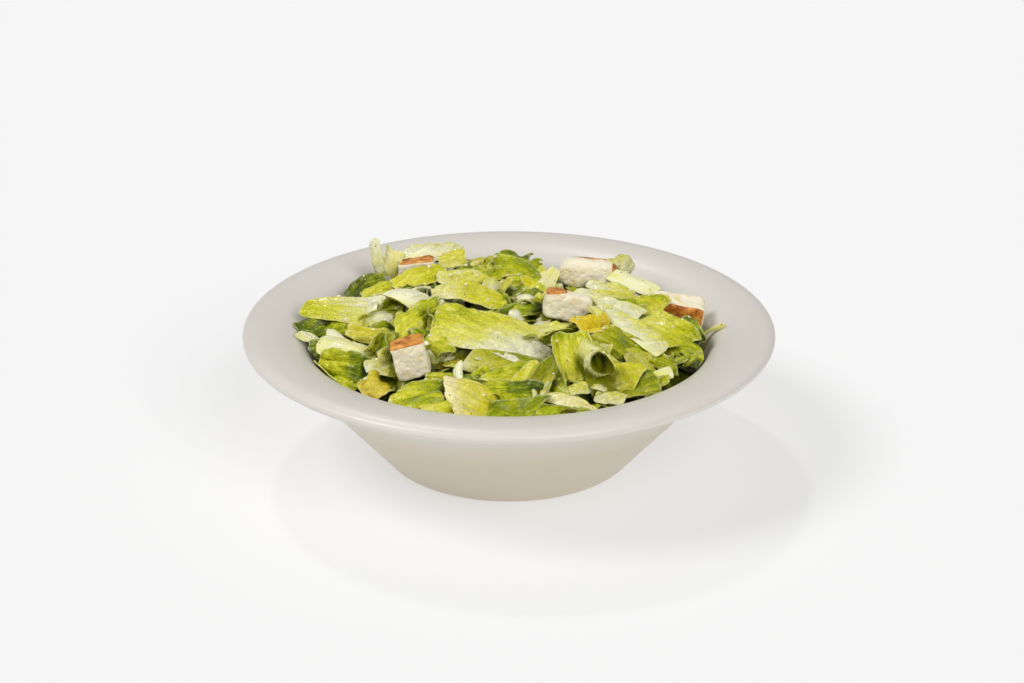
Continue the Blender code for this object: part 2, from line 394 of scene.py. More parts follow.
def bowl_tree(material):
    """Sweeps the bowl's section round its axis, and closes it at the two poles."""
    inputs = {"Section": "Object", "Sweep Radius": "Float", "Steps Round": "Int"}
    graph, given, result, identifiers = node_tree("turned_bowl", inputs)
    circle = graph.add("GeometryNodeCurvePrimitiveCircle")
    graph.plug(circle.inputs["Resolution"], given.outputs["Steps Round"])
    graph.plug(circle.inputs["Radius"], given.outputs["Sweep Radius"])
    section = graph.add("GeometryNodeObjectInfo", {"Object": given.outputs["Section"]})
    sweep = graph.add("GeometryNodeCurveToMesh")
    graph.plug(sweep.inputs["Curve"], circle.outputs["Curve"])
    graph.plug(sweep.inputs["Profile Curve"], section.outputs["Geometry"])
    closed = graph.add("GeometryNodeMergeByDistance", {0: sweep.outputs[0], "Distance": 2e-6})
    smooth = graph.add("GeometryNodeSetShadeSmooth", {0: closed.outputs[0]})
    whole = graph.add("GeometryNodeRealizeInstances", {0: smooth.outputs[0]})
    finished = graph.add("GeometryNodeSetMaterial", {0: whole.outputs[0], "Material": material})
    graph.plug(result.inputs[0], finished.outputs[0])
    return graph, identifiers


def stoneware(sizes):
    """Cream-white satin glaze, warmer and, as painted shade, darker towards the foot, and bare clay under the
    foot ring.
    """
    material, graph, surface = shader("cream_glaze")
    place = object_coordinates(graph)
    broad = graph.noise(place, 11.0, 2.0)
    fine = graph.noise(place, 260.0, 3.0)
    split = graph.add("ShaderNodeSeparateXYZ", {0: place})
    # Painted shade: the glaze turns darker and warmer the lower it lies, from 58 mm down to 26 mm, inside and
    # out
    low = graph.span(split.outputs[2], 0.058, 0.026)
    drift = graph.math("MULTIPLY_ADD", graph.math("SUBTRACT", broad, 0.5), 0.4, low, clamp=True)
    glaze = graph.mix(drift, tuple(sizes.glaze), tuple(sizes.glaze_painted_shade))
    bare = graph.span(split.outputs[2], 0.0012, 0.0006)
    graph.plug(surface.inputs["Base Color"], graph.mix(bare, glaze, tuple(sizes.clay)))
    worn = graph.span(fine, 0.3, 0.75, 0.34, 0.42)
    graph.plug(surface.inputs["Roughness"], graph.math("MULTIPLY_ADD", bare, 0.4, worn))
    waves = graph.bump(broad, 0.12, 0.0008)
    graph.plug(surface.inputs["Normal"], graph.bump(fine, 0.05, 0.00008, waves))
    return material


class SALAD_PG_bowl(bpy.types.PropertyGroup):
    """Sizes and colours of the stoneware bowl."""

    steps_round: bpy.props.IntProperty(
        name="Steps Round", description="Facets round the bowl", default=224, min=24
    )
    fineness: bpy.props.IntProperty(
        name="Fineness", description="Steps along each stretch of the section", default=3, min=1
    )
    sweep_radius: bpy.props.FloatProperty(
        name="Sweep Radius", description="Radius of the circle that the section is swept round",
        default=0.06, unit="LENGTH",
    )
    glaze: bpy.props.FloatVectorProperty(
        name="Glaze", description="Colour of the glaze", size=4, subtype="COLOR",
        default=linear(223, 218, 209),
    )
    # Painted shade: the darker, warmer glaze colour that the lower bowl turns to
    glaze_painted_shade: bpy.props.FloatVectorProperty(
        name="Glaze Shade", description="Colour down the outside of the wall", size=4, subtype="COLOR",
        default=linear(208, 198, 176),
    )
    clay: bpy.props.FloatVectorProperty(
        name="Clay", description="Colour of the bare foot ring", size=4, subtype="COLOR",
        default=linear(196, 176, 148),
    )


class SALAD_OT_bowl(bpy.types.Operator):
    """Turn the wide-rimmed bowl from its section"""

    bl_idname = "salad.bowl"
    bl_label = "Bowl"

    def execute(self, context):
        sizes = context.scene.salad_bowl
        section = bowl_section(sizes.fineness)
        curve = bpy.data.curves.new("bowl_section", "CURVE")
        curve.dimensions = "3D"
        spline = curve.splines.new("POLY")
        spline.points.add(len(section) - 1)
        for point, (radius, height) in zip(spline.points, section):
            point.co = (radius * MM - sizes.sweep_radius, -height * MM, 0.0, 1.0)
        outline = bpy.data.objects.new("bowl_section", curve)
        context.scene.collection.objects.link(outline)
        carrier = mesh_object("bowl_carrier", np.zeros((3, 3)), [(0, 1, 2)], None, sharp_degrees=0)
        graph, identifiers = bowl_tree(stoneware(sizes))
        values = {"Section": outline, "Sweep Radius": sizes.sweep_radius, "Steps Round": sizes.steps_round}
        add_tree(carrier, graph, identifiers, values)
        bowl = realised(carrier, "stoneware_bowl")
        bpy.data.objects.remove(outline, do_unlink=True)
        bm = bmesh.new()
        bm.from_mesh(bowl.data)
        bmesh.ops.remove_doubles(bm, verts=bm.verts, dist=2e-6)
        bmesh.ops.recalc_face_normals(bm, faces=bm.faces)
        bm.to_mesh(bowl.data)
        bm.free()
        finish_piece(bowl, "cream_glaze", "bowl")
        return {"FINISHED"}


# ---------------------------------------------------------------- cutting pieces from a romaine leaf


Piece = namedtuple(
    "Piece",
    "at size heading lean part turn taper skew corners bend curl cup fold lip twist lively ruffle quilt "
    "pleat green yellow shade flip key",
)


CUT_ALONG_VEINS = 42


def piece(at, size, heading, lean=(-90, 0), part=(110, 20), turn=None, taper=0.0, skew=0.0, corners=7.0,
          bend=-24, curl=0, cup=-42, fold=0, lip=0, twist=0, lively=1.0, ruffle=0.4, quilt=0.6,
          pleat=0.0, green=0.0, yellow=0.0, shade=1.0, flip=False):
    """One cut piece of leaf.

    at: its middle. size: length and width. heading: where its tip end points, seen from above.
    lean: the direction that its face leans towards, and by how much. part: the place on the whole leaf
    that it is cut from, along the rib and off it. turn: the angle of the cut across the leaf.
    taper, skew, corners: its outline. bend, curl, cup, fold, lip, twist: turns in degrees.
    lively: how much of a crease, stray lips and waves of its own it has.
    ruffle, quilt, pleat: relief in millimetres. shade: a factor on its brightness: partly its own tone,
    partly painted light and shade.
    """
    key = int(abs(at[0]) * 7 + abs(at[1]) * 13 + size[0] * 3) + 1
    if turn is None:
        turn = CUT_ALONG_VEINS if part[1] >= 10 else 0
    return Piece(at, size, heading, lean, part, turn, taper, skew, corners, bend, curl, cup, fold, lip,
                 twist, lively, ruffle, quilt, pleat, green, yellow, shade, flip, key)


def blade_half_width(p):
    """The leaf's half width at this distance along its rib."""
    grown = LEAF_BASE_HALF_WIDTH + (LEAF_HALF_WIDTH - LEAF_BASE_HALF_WIDTH) * smooth_step(p / LEAF_BROADEST)
    past = np.clip((p - LEAF_BROADEST) / (LEAF_LENGTH - LEAF_BROADEST), 0, 0.995)
    return grown * np.sqrt(1 - past**2.2)


def rib_half_width(p):
    return 0.6 + RIB_HALF_WIDTH * np.clip(1 - p / (LEAF_LENGTH + 5), 0, 1) ** 1.25


def integrate(slopes, steps):
    """Running sum by trapezoids along the last axis, zero at its middle."""
    middle = slopes.shape[-1] // 2
    total = np.zeros_like(slopes)
    total[..., 1:] = np.cumsum((slopes[..., 1:] + slopes[..., :-1]) / 2 * steps, axis=-1)
    return total - total[..., middle:middle + 1]


def chance(cut, number):
    """A repeatable value from -1 to 1 that belongs to this piece."""
    return float(lattice_value(np.int64(cut.key), np.int64(number), 3, 11))


def cut_outline(cut, u, v):
    """Where each grid point of the piece lies: along and across the piece, and p and q on the leaf."""
    length, width = cut.size
    ends = 1 - np.abs(2 * u * 0.97) ** cut.corners
    share = np.clip(ends, 0.02, 1) ** (1 / cut.corners)
    share = share * (1 + (cut.taper + 0.30 * cut.lively * chance(cut, 0)) * 2 * u)
    rough = 0.2 + 0.8 * cut.lively
    nick = 1 + 0.11 * rough * rough_noise(u * length / 9 + np.sign(v) * 9, np.sign(v) * 3.3, 0.5, cut.key)
    across = v * width * share * np.where(np.abs(v) > 0, nick, 1)
    slant = width * (cut.skew + 0.34 * cut.lively * chance(cut, 1))
    torn = 1.3 * rough * rough_noise(v * width / 6, np.sign(u) * 4.1, 0.2, cut.key + 3)
    along = u * length + slant * 2 * v * np.abs(2 * u) + torn * np.abs(2 * u) ** 3
    angle = math.radians(cut.turn)
    p = cut.part[0] + along * math.cos(angle) - across * math.sin(angle)
    q = cut.part[1] + along * math.sin(angle) + across * math.cos(angle)
    return along, across, p, q


def vein_phase(p, q, key):
    """Counts the side veins: each whole number is a vein, and the two halves of the leaf alternate."""
    drift = 0.55 * soft_noise(p / 21, q / 17, 0.3, key) + 0.12 * soft_noise(p / 6, q / 7, 0.8, key)
    return (p - VEIN_RISE * np.abs(q) ** 0.93) / VEIN_SPACING + np.where(q > 0, 0.0, 0.5) + drift


def cross_angles(cut, u, side, q):
    """The slope across the piece, in radians, at each of its points."""
    sway = 1 + 0.4 * soft_noise(u * 2.2, cut.key * 0.61, 0.7, 8)
    lips = np.where(side > 0, chance(cut, 2), chance(cut, 3)) * 34 * cut.lively + cut.lip
    reach = (2 * side + 0.9 * chance(cut, 4) * 2 * u - 0.45 * chance(cut, 5)) / 0.2
    crease = 26 * cut.lively * chance(cut, 6) * np.tanh(reach)
    waves = 30 * cut.lively * soft_noise(side * 3.1 + cut.key, u * 2.6, cut.key * 0.37, 10)
    degrees = cut.cup * side * sway + lips * np.sign(side) * np.abs(2 * side) ** 4 + crease + waves
    return np.radians(degrees + cut.fold / 2 * np.tanh(q / 3.0))


def leaf_relief(cut, p, q, w, margin, rib, vein):
    """Height of the surface over the smooth sheet: puffed between the veins, and frilled at the margin."""
    blade = 1 - rib
    pillow = np.abs(np.sin(np.pi * w)) ** 0.7
    puckers = soft_noise(p / 3.4, q / 3.4, 0.4, cut.key + 1)
    relief = 0.9 * cut.lively * rough_noise(p / 13, q / 13, 0.6, cut.key + 2, 2)
    relief += cut.quilt * blade * (pillow * (0.9 + 0.9 * puckers) - 0.8 * vein)
    relief += cut.quilt * 0.45 * soft_noise(p / 2.0, q / 2.0, 0.2, cut.key + 4) * blade
    relief += cut.pleat * np.cos(np.pi * 2 * w) * blade
    reach = np.abs(q) ** 0.93 * VEIN_RISE
    folds = soft_noise((p - reach) / 4.6, (p + reach) / 26, 0.5, cut.key + 9)
    relief += 1.25 * cut.lively * (0.35 - np.abs(folds)) * (0.4 + 0.6 * blade)
    frill = np.sin(p / 2.1 + 3 * soft_noise(p / 11, 0.2, 0.3, cut.key + 5))
    frill = frill + 0.6 * soft_noise(p / 2.6, q / 6, 0.9, cut.key + 6)
    return relief + cut.ruffle * np.clip(margin, 0, 1) ** 3 * frill


def leaf_sheet(cut, rows, columns):
    """The mid-surface of a cut piece, its thickness and the fields that its colours come from."""
    u = np.linspace(-0.5, 0.5, rows)[:, None] * np.ones((1, columns))
    v = np.linspace(-0.5, 0.5, columns)[None, :] * np.ones((rows, 1))
    along, across, p, q = cut_outline(cut, u, v)
    margin = np.clip(np.abs(q) / blade_half_width(p), 0, 1.15)
    rib_width = rib_half_width(p)
    rib = np.exp(-((q / rib_width) ** 4))

    # The spine, and a cross-section at each point along it
    pitch = cut.bend * u[:, 0] + cut.curl * np.clip(2 * u[:, 0], 0, 1) ** 2
    pitch = pitch + 22 * cut.lively * soft_noise(u[:, 0] * 3.3 + cut.key, cut.key * 0.77, 0.3, 9)
    theta = np.radians(pitch)
    step = cut.size[0] / (rows - 1)
    spine_x = integrate(np.cos(theta), step)
    spine_z = integrate(np.sin(theta), step)
    phi = cross_angles(cut, u, across / cut.size[1], q)
    middle = columns // 2
    y = np.zeros_like(across)
    z = np.zeros_like(across)
    y[:, 1:] = np.cumsum((np.cos(phi[:, 1:]) + np.cos(phi[:, :-1])) / 2 * np.diff(across, axis=1), axis=1)
    z[:, 1:] = np.cumsum((np.sin(phi[:, 1:]) + np.sin(phi[:, :-1])) / 2 * np.diff(across, axis=1), axis=1)
    y -= y[:, middle:middle + 1]
    z -= z[:, middle:middle + 1]
    turn = np.radians(cut.twist) * u
    y, z = y * np.cos(turn) - z * np.sin(turn), y * np.sin(turn) + z * np.cos(turn)
    lead = along - u * cut.size[0]
    x = spine_x[:, None] + lead * np.cos(theta)[:, None] - z * np.sin(theta)[:, None]
    height = spine_z[:, None] + lead * np.sin(theta)[:, None] + z * np.cos(theta)[:, None]
    points = np.stack([x, y, height], -1)

    # Relief along the surface's own normal
    w = vein_phase(p, q, cut.key)
    vein = np.exp(-((np.abs(w - np.round(w)) / 0.11) ** 2)) * (1 - rib)
    points = points + grid_normals(points) * leaf_relief(cut, p, q, w, margin, rib, vein)[..., None]

    thickness = 0.42 + RIB_DEPTH * rib * np.sqrt(np.clip(rib_width / 9, 0.02, 1))
    thickness += 0.4 * vein * np.clip(1 - margin, 0, 1)
    blade = np.clip((np.abs(q) - rib_width) / (blade_half_width(p) - rib_width), 0, 1)
    greenness = 0.06 + blade**0.8 * (0.34 + 0.58 * np.clip(p / 170, 0, 1)) * (1 - 0.9 * rib)
    greenness = greenness + cut.green * (1 - 0.75 * rib)
    to_end = (0.5 - np.abs(u)) * cut.size[0]
    to_side = (0.5 - np.abs(v)) * cut.size[1]
    fields = {
        "greenness": greenness,
        "rib": rib,
        "cut_edge": np.minimum(to_end, to_side),
        "veins": np.stack([w, margin, p / 100], -1),
        "leaf_place": np.stack([p / 10, q / 10, np.full_like(p, cut.key * 0.37)], -1),
        "tone": np.stack([np.full_like(p, t) for t in (cut.shade, cut.yellow, float(cut.flip))], -1),
    }
    if cut.flip:
        points = (points * (1, 1, -1))[:, ::-1]
        thickness = thickness[:, ::-1]
        fields = {key: values[:, ::-1] for key, values in fields.items()}
    return points, thickness, fields


def grid_normals(points):
    """Unit normals of a grid of points, each the cross of its two directions."""
    normal = np.cross(np.gradient(points, axis=0), np.gradient(points, axis=1))
    return normal / (np.linalg.norm(normal, axis=-1, keepdims=True) + 1e-9)


def posed(points, cut):
    """The piece's points turned and moved to its place in the heap."""
    towards, angle = (math.radians(a) for a in cut.lean)
    up = Vector((math.sin(angle) * math.cos(towards), math.sin(angle) * math.sin(towards), math.cos(angle)))
    heading = math.radians(cut.heading)
    ahead = Vector((math.cos(heading), math.sin(heading), 0.0))
    ahead = (ahead - up * ahead.dot(up)).normalized()
    left = up.cross(ahead)
    return points @ np.array([ahead, left, up]) + np.array(cut.at)


def grid_faces(rows, columns):
    """Faces of a closed sheet whose points are the top grid, then the bottom grid."""
    index = np.arange(rows * columns).reshape(rows, columns)
    under = rows * columns
    a, b = index[:-1, :-1].ravel(), index[1:, :-1].ravel()
    c, d = index[1:, 1:].ravel(), index[:-1, 1:].ravel()
    top = np.stack([a, b, c, d], -1)
    bottom = np.stack([d, c, b, a], -1) + under
    loop = np.concatenate([index[:-1, 0], index[-1, :-1], index[:0:-1, -1], index[0, :0:-1]])
    after = np.roll(loop, -1)
    rim = np.stack([loop + under, after + under, after, loop], -1)
    return np.concatenate([top, bottom, rim])


def closed_sheet(points, thickness, fields):
    """Both sides of a sheet of this thickness, with its fields and a mark on the underside."""
    half = grid_normals(points) * thickness[..., None] / 2
    both = np.concatenate([(points + half).reshape(-1, 3), (points - half).reshape(-1, 3)])
    doubled = {}
    for key, values in fields.items():
        flat = values.reshape(points.shape[0] * points.shape[1], -1)
        doubled[key] = np.concatenate([flat, flat]).squeeze()
    under = np.repeat([0.0, 1.0], points.shape[0] * points.shape[1])
    doubled["underside"] = np.abs(under - doubled["tone"][:, 2])
    return both, doubled


def heap_height(radius):
    """The smooth dome that the heap fills, at this distance from its middle."""
    share = np.clip(radius / HEAP_EDGE_RADIUS, 0, None)
    return HEAP_CROWN - (HEAP_CROWN - HEAP_EDGE_HEIGHT) * share**HEAP_ROUNDNESS


# Grid and reach of the occlusion that the leaves' painted shade is drawn from
SHELTER_CELL = 0.8
SHELTER_HALF_CELLS = 150
SHELTER_DISTANCES = (1.6, 3.2, 5.6, 9.0)
SHELTER_DIRECTIONS = 12


def shelter_cells(points):
    """The cells, seen from above, that points in millimetres lie in."""
    cells = np.round(points[:, :2] / SHELTER_CELL).astype(int) + SHELTER_HALF_CELLS
    return np.clip(cells, 0, 2 * SHELTER_HALF_CELLS - 1).T


def top_map(meshes):
    """The height of the topmost surface in each cell, in millimetres."""
    top = np.zeros((2 * SHELTER_HALF_CELLS, 2 * SHELTER_HALF_CELLS))
    for mesh in meshes:
        points = mesh_points(mesh)
        np.maximum.at(top, tuple(shelter_cells(points)), points[:, 2])
    return top


def shelter(points, normals, top):
    """How far the surfaces that each point faces close it in, from 0 in the open to 1: the amount of the
    leaves' painted shade.
    """
    total = np.zeros(len(points))
    weights = np.zeros(len(points))
    for direction in np.arange(SHELTER_DIRECTIONS) * math.tau / SHELTER_DIRECTIONS:
        towards = np.array([math.cos(direction), math.sin(direction), 0.0])
        steepest = np.zeros(len(points))
        for distance in SHELTER_DISTANCES:
            rise = top[tuple(shelter_cells(points + towards * distance))] - points[:, 2] - 0.6
            steepest = np.maximum(steepest, rise / distance)
        weight = np.clip(0.35 + normals @ towards, 0.02, 1)
        total += weight * np.clip(steepest, 0, 1.4) / 1.4
        weights += weight
    covered = np.clip((top[tuple(shelter_cells(points))] - points[:, 2] - 1.0) / 5, 0, 1)
    return np.clip(total / weights + 0.35 * covered * np.clip(normals[:, 2], 0, 1), 0, 1)


def mesh_points(mesh):
    """A mesh's points in millimetres."""
    points = np.empty(len(mesh.vertices) * 3, np.float32)
    mesh.vertices.foreach_get("co", points)
    return points.reshape(-1, 3).astype(float) / MM


def leaf_object(name, cuts, material, grain):
    """Joins cut pieces into one object, each posed and kept inside the bowl's wall."""
    all_points, all_faces, all_fields = [], [], {}
    count = 0
    for cut in cuts:
        rows, columns = (max(6, round(side / grain / 2)) * 2 + 1 for side in cut.size)
        points, thickness, fields = leaf_sheet(cut, rows, columns)
        points = posed(points, cut)
        points = points + clear_of_wall(points, WALL_CLEARANCE)
        both, doubled = closed_sheet(points, thickness, fields)
        doubled["shelter"] = np.zeros(len(both))
        all_points.append(both)
        all_faces.append(grid_faces(rows, columns) + count)
        for key, values in doubled.items():
            all_fields.setdefault(key, []).append(values)
        count += len(both)
    joined = {key: np.concatenate(values) for key, values in all_fields.items()}
    return mesh_object(name, np.concatenate(all_points), np.concatenate(all_faces), material, joined)


def romaine(sizes):
    """Dressed romaine: white rib, pale heart to dark green margin, paler veins, a wet gloss, painted shade
    where closed in and a painted highlight on cut edges.
    """
    material, graph, surface = shader("dressed_romaine")
    place = graph.attribute("leaf_place", "Vector")
    split = graph.add("ShaderNodeSeparateXYZ", {0: place})
    veins = graph.add("ShaderNodeSeparateXYZ", {0: graph.attribute("veins", "Vector")})
    tone = graph.add("ShaderNodeSeparateXYZ", {0: graph.attribute("tone", "Vector")})
    rib = graph.attribute("rib")
    underside = graph.attribute("underside")
    blade = graph.math("SUBTRACT", 1.0, rib)

    # Streaks that run along the side veins on the blade, and along the rib on the rib
    along_vein = graph.add("ShaderNodeCombineXYZ", {
        0: graph.math("MULTIPLY", veins.outputs[0], 4.2),
        1: graph.math("MULTIPLY", split.outputs[1], 1.1),
        2: split.outputs[2],
    }).outputs[0]
    along_rib = graph.add("ShaderNodeCombineXYZ", {
        0: graph.math("MULTIPLY", split.outputs[1], 7.0),
        1: graph.math("MULTIPLY", split.outputs[0], 0.7),
        2: split.outputs[2],
    }).outputs[0]
    streaks = graph.mix(rib, graph.noise(along_vein, 1.0, 4.0, 0.65, 1.2), graph.noise(along_rib, 1.0, 3.0))
    streaks = graph.math("SUBTRACT", streaks, 0.5)
    patches = graph.math("SUBTRACT", graph.noise(place, 0.7, 3.0), 0.5)
    mottle = graph.math("SUBTRACT", graph.noise(place, 3.2, 4.0, 0.6), 0.5)

    # Side veins that fade in and out, finer ones between them, and the net that joins them
    wander = graph.math("MULTIPLY_ADD", mottle, 0.34, veins.outputs[0])
    width = graph.math("MULTIPLY_ADD", veins.outputs[1], -0.07, 0.115)
    vein = graph.math("DIVIDE", graph.math("PINGPONG", wander, 0.5), width)
    shown = graph.span(graph.math("MULTIPLY_ADD", patches, 1.6, streaks), -0.35, 0.20, 0.25, 1.0)
    vein = graph.math("MULTIPLY", graph.math("MULTIPLY", graph.span(vein, 1.0, 0.25), blade), shown)
    between = graph.math("PINGPONG", graph.math("MULTIPLY_ADD", streaks, 1.1, graph.math(
        "MULTIPLY", wander, 3.0)), 0.5)
    between = graph.math("MULTIPLY", graph.span(between, 0.20, 0.03), blade)
    bent = graph.vector_math("ADD", place, graph.add("ShaderNodeTexNoise", {
        "Vector": place, "Scale": 3.0, "Detail": 2.0}).outputs[1])
    net = graph.math("MULTIPLY", graph.span(graph.cells(bent, 2.8, "DISTANCE_TO_EDGE"), 0.10, 0.0), blade)

    greenness = graph.attribute("greenness")
    varied = graph.math("MULTIPLY_ADD", streaks, 0.95, graph.math("MULTIPLY", patches, 0.9))
    varied = graph.math("MULTIPLY_ADD", mottle, 0.45, varied)
    speckle = graph.math("SUBTRACT", graph.noise(place, 11.0, 3.0, 0.6), 0.5)
    varied = graph.math("MULTIPLY_ADD", speckle, 0.14, varied)
    level = graph.math("MULTIPLY_ADD", varied, graph.span(greenness, 0.1, 0.6, 0.35, 1.0), greenness)
    level = graph.math("MULTIPLY_ADD", vein, -0.08, level)
    level = graph.math("MULTIPLY_ADD", between, -0.06, level)
    level = graph.math("MULTIPLY_ADD", net, -0.06, level)
    # Painted shade: points that other pieces close in move towards the deeper greens
    level = graph.math("MULTIPLY_ADD", graph.attribute("shelter"), 0.14, level, clamp=True)
    colour = graph.ramp(level, (
        (0.0, tuple(sizes.rib)), (0.16, tuple(sizes.heart)), (0.34, tuple(sizes.yellow_green)),
        (0.56, tuple(sizes.mid_green)), (0.78, tuple(sizes.deep_green)), (1.0, tuple(sizes.dark_green)),
    ))
    golden = graph.mix(1.0, colour, tuple(sizes.golden), "MULTIPLY")
    colour = graph.mix(tone.outputs[1], colour, golden)
    pale = graph.mix(0.34, colour, tuple(sizes.under))
    colour = graph.mix(graph.math("MULTIPLY", underside, 0.75), colour, pale)
    film = graph.span(graph.noise(place, 1.2, 2.0, 0.6, 0.5), 0.56, 0.74, 0.0, 0.15)
    colour = graph.mix(film, colour, tuple(sizes.dressing))
    # Painted highlight: a paler line along each piece's cut edges
    painted_edge_highlight = graph.span(graph.math("MULTIPLY_ADD", mottle, 1.2, graph.attribute("cut_edge")), 0.9, 0.1)
    colour = graph.mix(graph.math("MULTIPLY", painted_edge_highlight, 0.36), colour, tuple(sizes.cut_edge))
    # Painted shade: points that other pieces close in are darkened by the painted shade tint
    painted_shade = graph.span(graph.attribute("shelter"), 0.03, 0.74)
    colour = graph.mix(painted_shade, colour, graph.mix(1.0, colour, tuple(sizes.painted_shade), "MULTIPLY"))
    # Each piece's brightness factor: partly its own tone, partly painted shade on pieces under others and
    # painted light on bright ones
    shade = graph.add("ShaderNodeCombineXYZ", {k: tone.outputs[0] for k in range(3)}).outputs[0]
    graph.plug(surface.inputs["Base Color"], graph.mix(1.0, colour, shade, "MULTIPLY"))

    wet = graph.noise(place, 0.9, 3.0, 0.6)
    graph.plug(surface.inputs["Roughness"], graph.span(wet, 0.35, 0.65, 0.16, 0.44))
    surface.inputs["Subsurface Weight"].default_value = 0.16
    surface.inputs["Subsurface Radius"].default_value = (1.0, 0.95, 0.18)
    surface.inputs["Subsurface Scale"].default_value = 0.0014
    surface.inputs["IOR"].default_value = 1.30
    surface.inputs["Coat Weight"].default_value = 0.34
    surface.inputs["Coat Roughness"].default_value = 0.11
    surface.inputs["Coat IOR"].default_value = 1.35
    relief = graph.math("MULTIPLY_ADD", streaks, 0.9, graph.math("MULTIPLY", mottle, 0.7))
    relief = graph.math("MULTIPLY_ADD", net, -0.35, relief)
    relief = graph.math("MULTIPLY_ADD", vein, 0.45, graph.math("MULTIPLY_ADD", speckle, 0.12, relief))
    graph.plug(surface.inputs["Normal"], graph.bump(relief, 0.75, 0.0010))
    return material


class SALAD_PG_leaves(bpy.types.PropertyGroup):
    """Sizes and colours of the cut romaine."""

    grain: bpy.props.FloatProperty(
        name="Grain", description="Distance between the points of a large piece", default=0.0007,
        unit="LENGTH",
    )
    spacing: bpy.props.FloatProperty(
        name="Spacing", description="Least distance between scattered pieces", default=0.0095,
        unit="LENGTH",
    )
    tilt: bpy.props.FloatProperty(
        name="Tilt", description="Most that a scattered piece tilts", default=math.radians(34),
        subtype="ANGLE",
    )
    lift: bpy.props.FloatProperty(
        name="Lift", description="Most that a scattered piece stands off the core", default=0.0045,
        unit="LENGTH",
    )
    seed: bpy.props.IntProperty(name="Seed", description="Seed of the scatter", default=SEED)
    rib: bpy.props.FloatVectorProperty(
        name="Rib", description="Colour of the thick white rib", size=4, subtype="COLOR",
        default=linear(246, 243, 202),
    )
    heart: bpy.props.FloatVectorProperty(
        name="Heart", description="Colour of the pale heart leaves", size=4, subtype="COLOR",
        default=linear(234, 230, 112),
    )
    yellow_green: bpy.props.FloatVectorProperty(
        name="Yellow Green", description="Colour of the inner blade", size=4, subtype="COLOR",
        default=linear(222, 217, 48),
    )
    mid_green: bpy.props.FloatVectorProperty(
        name="Mid Green", description="Colour of the outer blade", size=4, subtype="COLOR",
        default=linear(174, 184, 2),
    )
    deep_green: bpy.props.FloatVectorProperty(
        name="Deep Green", description="Colour near the margin", size=4, subtype="COLOR",
        default=linear(120, 138, 2),
    )
    dark_green: bpy.props.FloatVectorProperty(
        name="Dark Green", description="Colour of the darkest margins", size=4, subtype="COLOR",
        default=linear(60, 80, 2),
    )
    golden: bpy.props.FloatVectorProperty(
        name="Golden", description="Tint of the yellow pieces", size=4, subtype="COLOR",
        default=linear(255, 228, 90),
    )
    under: bpy.props.FloatVectorProperty(
        name="Under", description="Paler tint of the undersides", size=4, subtype="COLOR",
        default=linear(206, 210, 92),
    )
    dressing: bpy.props.FloatVectorProperty(
        name="Dressing", description="Thin film of dressing", size=4, subtype="COLOR",
        default=linear(228, 222, 160),
    )
    # Painted highlight: the pale line laid along the edges of the pieces
    cut_edge: bpy.props.FloatVectorProperty(
        name="Cut Edge", description="Paler line along the edge of a piece", size=4, subtype="COLOR",
        default=linear(236, 232, 170),
    )
    # Painted shade: the dark tint laid on points that other pieces close in
    painted_shade: bpy.props.FloatVectorProperty(
        name="Sunk", description="Tint of what the pieces around it shelter", size=4, subtype="COLOR",
        default=linear(140, 146, 28),
    )


# A shade below 1 is partly painted shade on a piece that lies under others, and above 1 partly painted light
BROAD_LEAVES = {
    "broad_pale": piece((-5, -34, 72), (61, 27), -21, (-82, 17), (86, -22), turn=138, curl=-34, cup=-26,
                        twist=-8, corners=9, lively=0.3, green=-0.24, shade=1.04),
    "long_left": piece((-68.5, 3, 68.5), (52, 18), 173, (-96, 20), (84, 16), taper=-0.3, corners=4, bend=-14,
                       cup=-26, lively=0.4, green=-0.16, quilt=0.2),
    "under_broad": piece((-22, -42, 63), (30, 15), -8, (-90, 34), (122, 26), turn=0, cup=34, yellow=0.45,
                         shade=0.75),
    "front_green": piece((-21, -64, 62.5), (34, 14), -16, (-90, 34), (140, 24), bend=-26, cup=-54,
                         green=0.14, shade=0.92),
    "front_left": piece((-40, -70, 60), (20, 11), 4, (-92, 34), (118, 26), cup=-46, ruffle=0.8,
                        green=0.0),
    "pale_triangle": piece((-15.5, -77, 60), (30, 22), -42, (-92, 38), (64, 14), taper=0.4, corners=9,
                           cup=-24, lively=0.7, green=-0.04, yellow=0.3),
    "olive_strip": piece((-3, -50, 64.5), (31, 12), -6, (-90, 28), (90, 16), bend=-10, green=0.1, shade=0.8),
    "green_strip": piece((4, -61, 63.5), (28, 12), -2, (-90, 34), (150, 18), green=0.12),
    "pleated": piece((47.5, -36, 68), (20, 17), -52, (-82, 38), (120, 24), quilt=0.2, pleat=1.0,
                     green=0.06, shade=0.8, lively=0.7),
    "right_broad": piece((67, -18, 67.5), (27, 19), -40, (-95, 32), (92, 20), cup=24, curl=-20,
                         lively=0.7, green=-0.04),
    "grey_under": piece((61.5, -39, 64), (26, 9), -42, (-112, 42), (112, 24), flip=True, shade=0.8),
    "right_olive": piece((58.5, -47, 61), (17, 11), -62, (-62, 32), (120, 22), shade=0.75),
    "under_back_right": piece((50, 5, 72), (43, 12), -12, (-90, 22), (76, 14), green=-0.04,
                              yellow=0.12, lively=0.6),
    "upper_pale": piece((47, -10, 74), (25, 11), -22, (-92, 26), (56, 8), cup=-20, green=-0.14),
    "right_under": piece((74, -24, 63), (26, 12), -36, (-100, 40), (128, 22), cup=-40, green=0.05),
    "bottom_right": piece((54, -62, 60), (20, 12), 18, (-86, 40), (124, 28), cup=-50, green=0.1, shade=0.8),
}

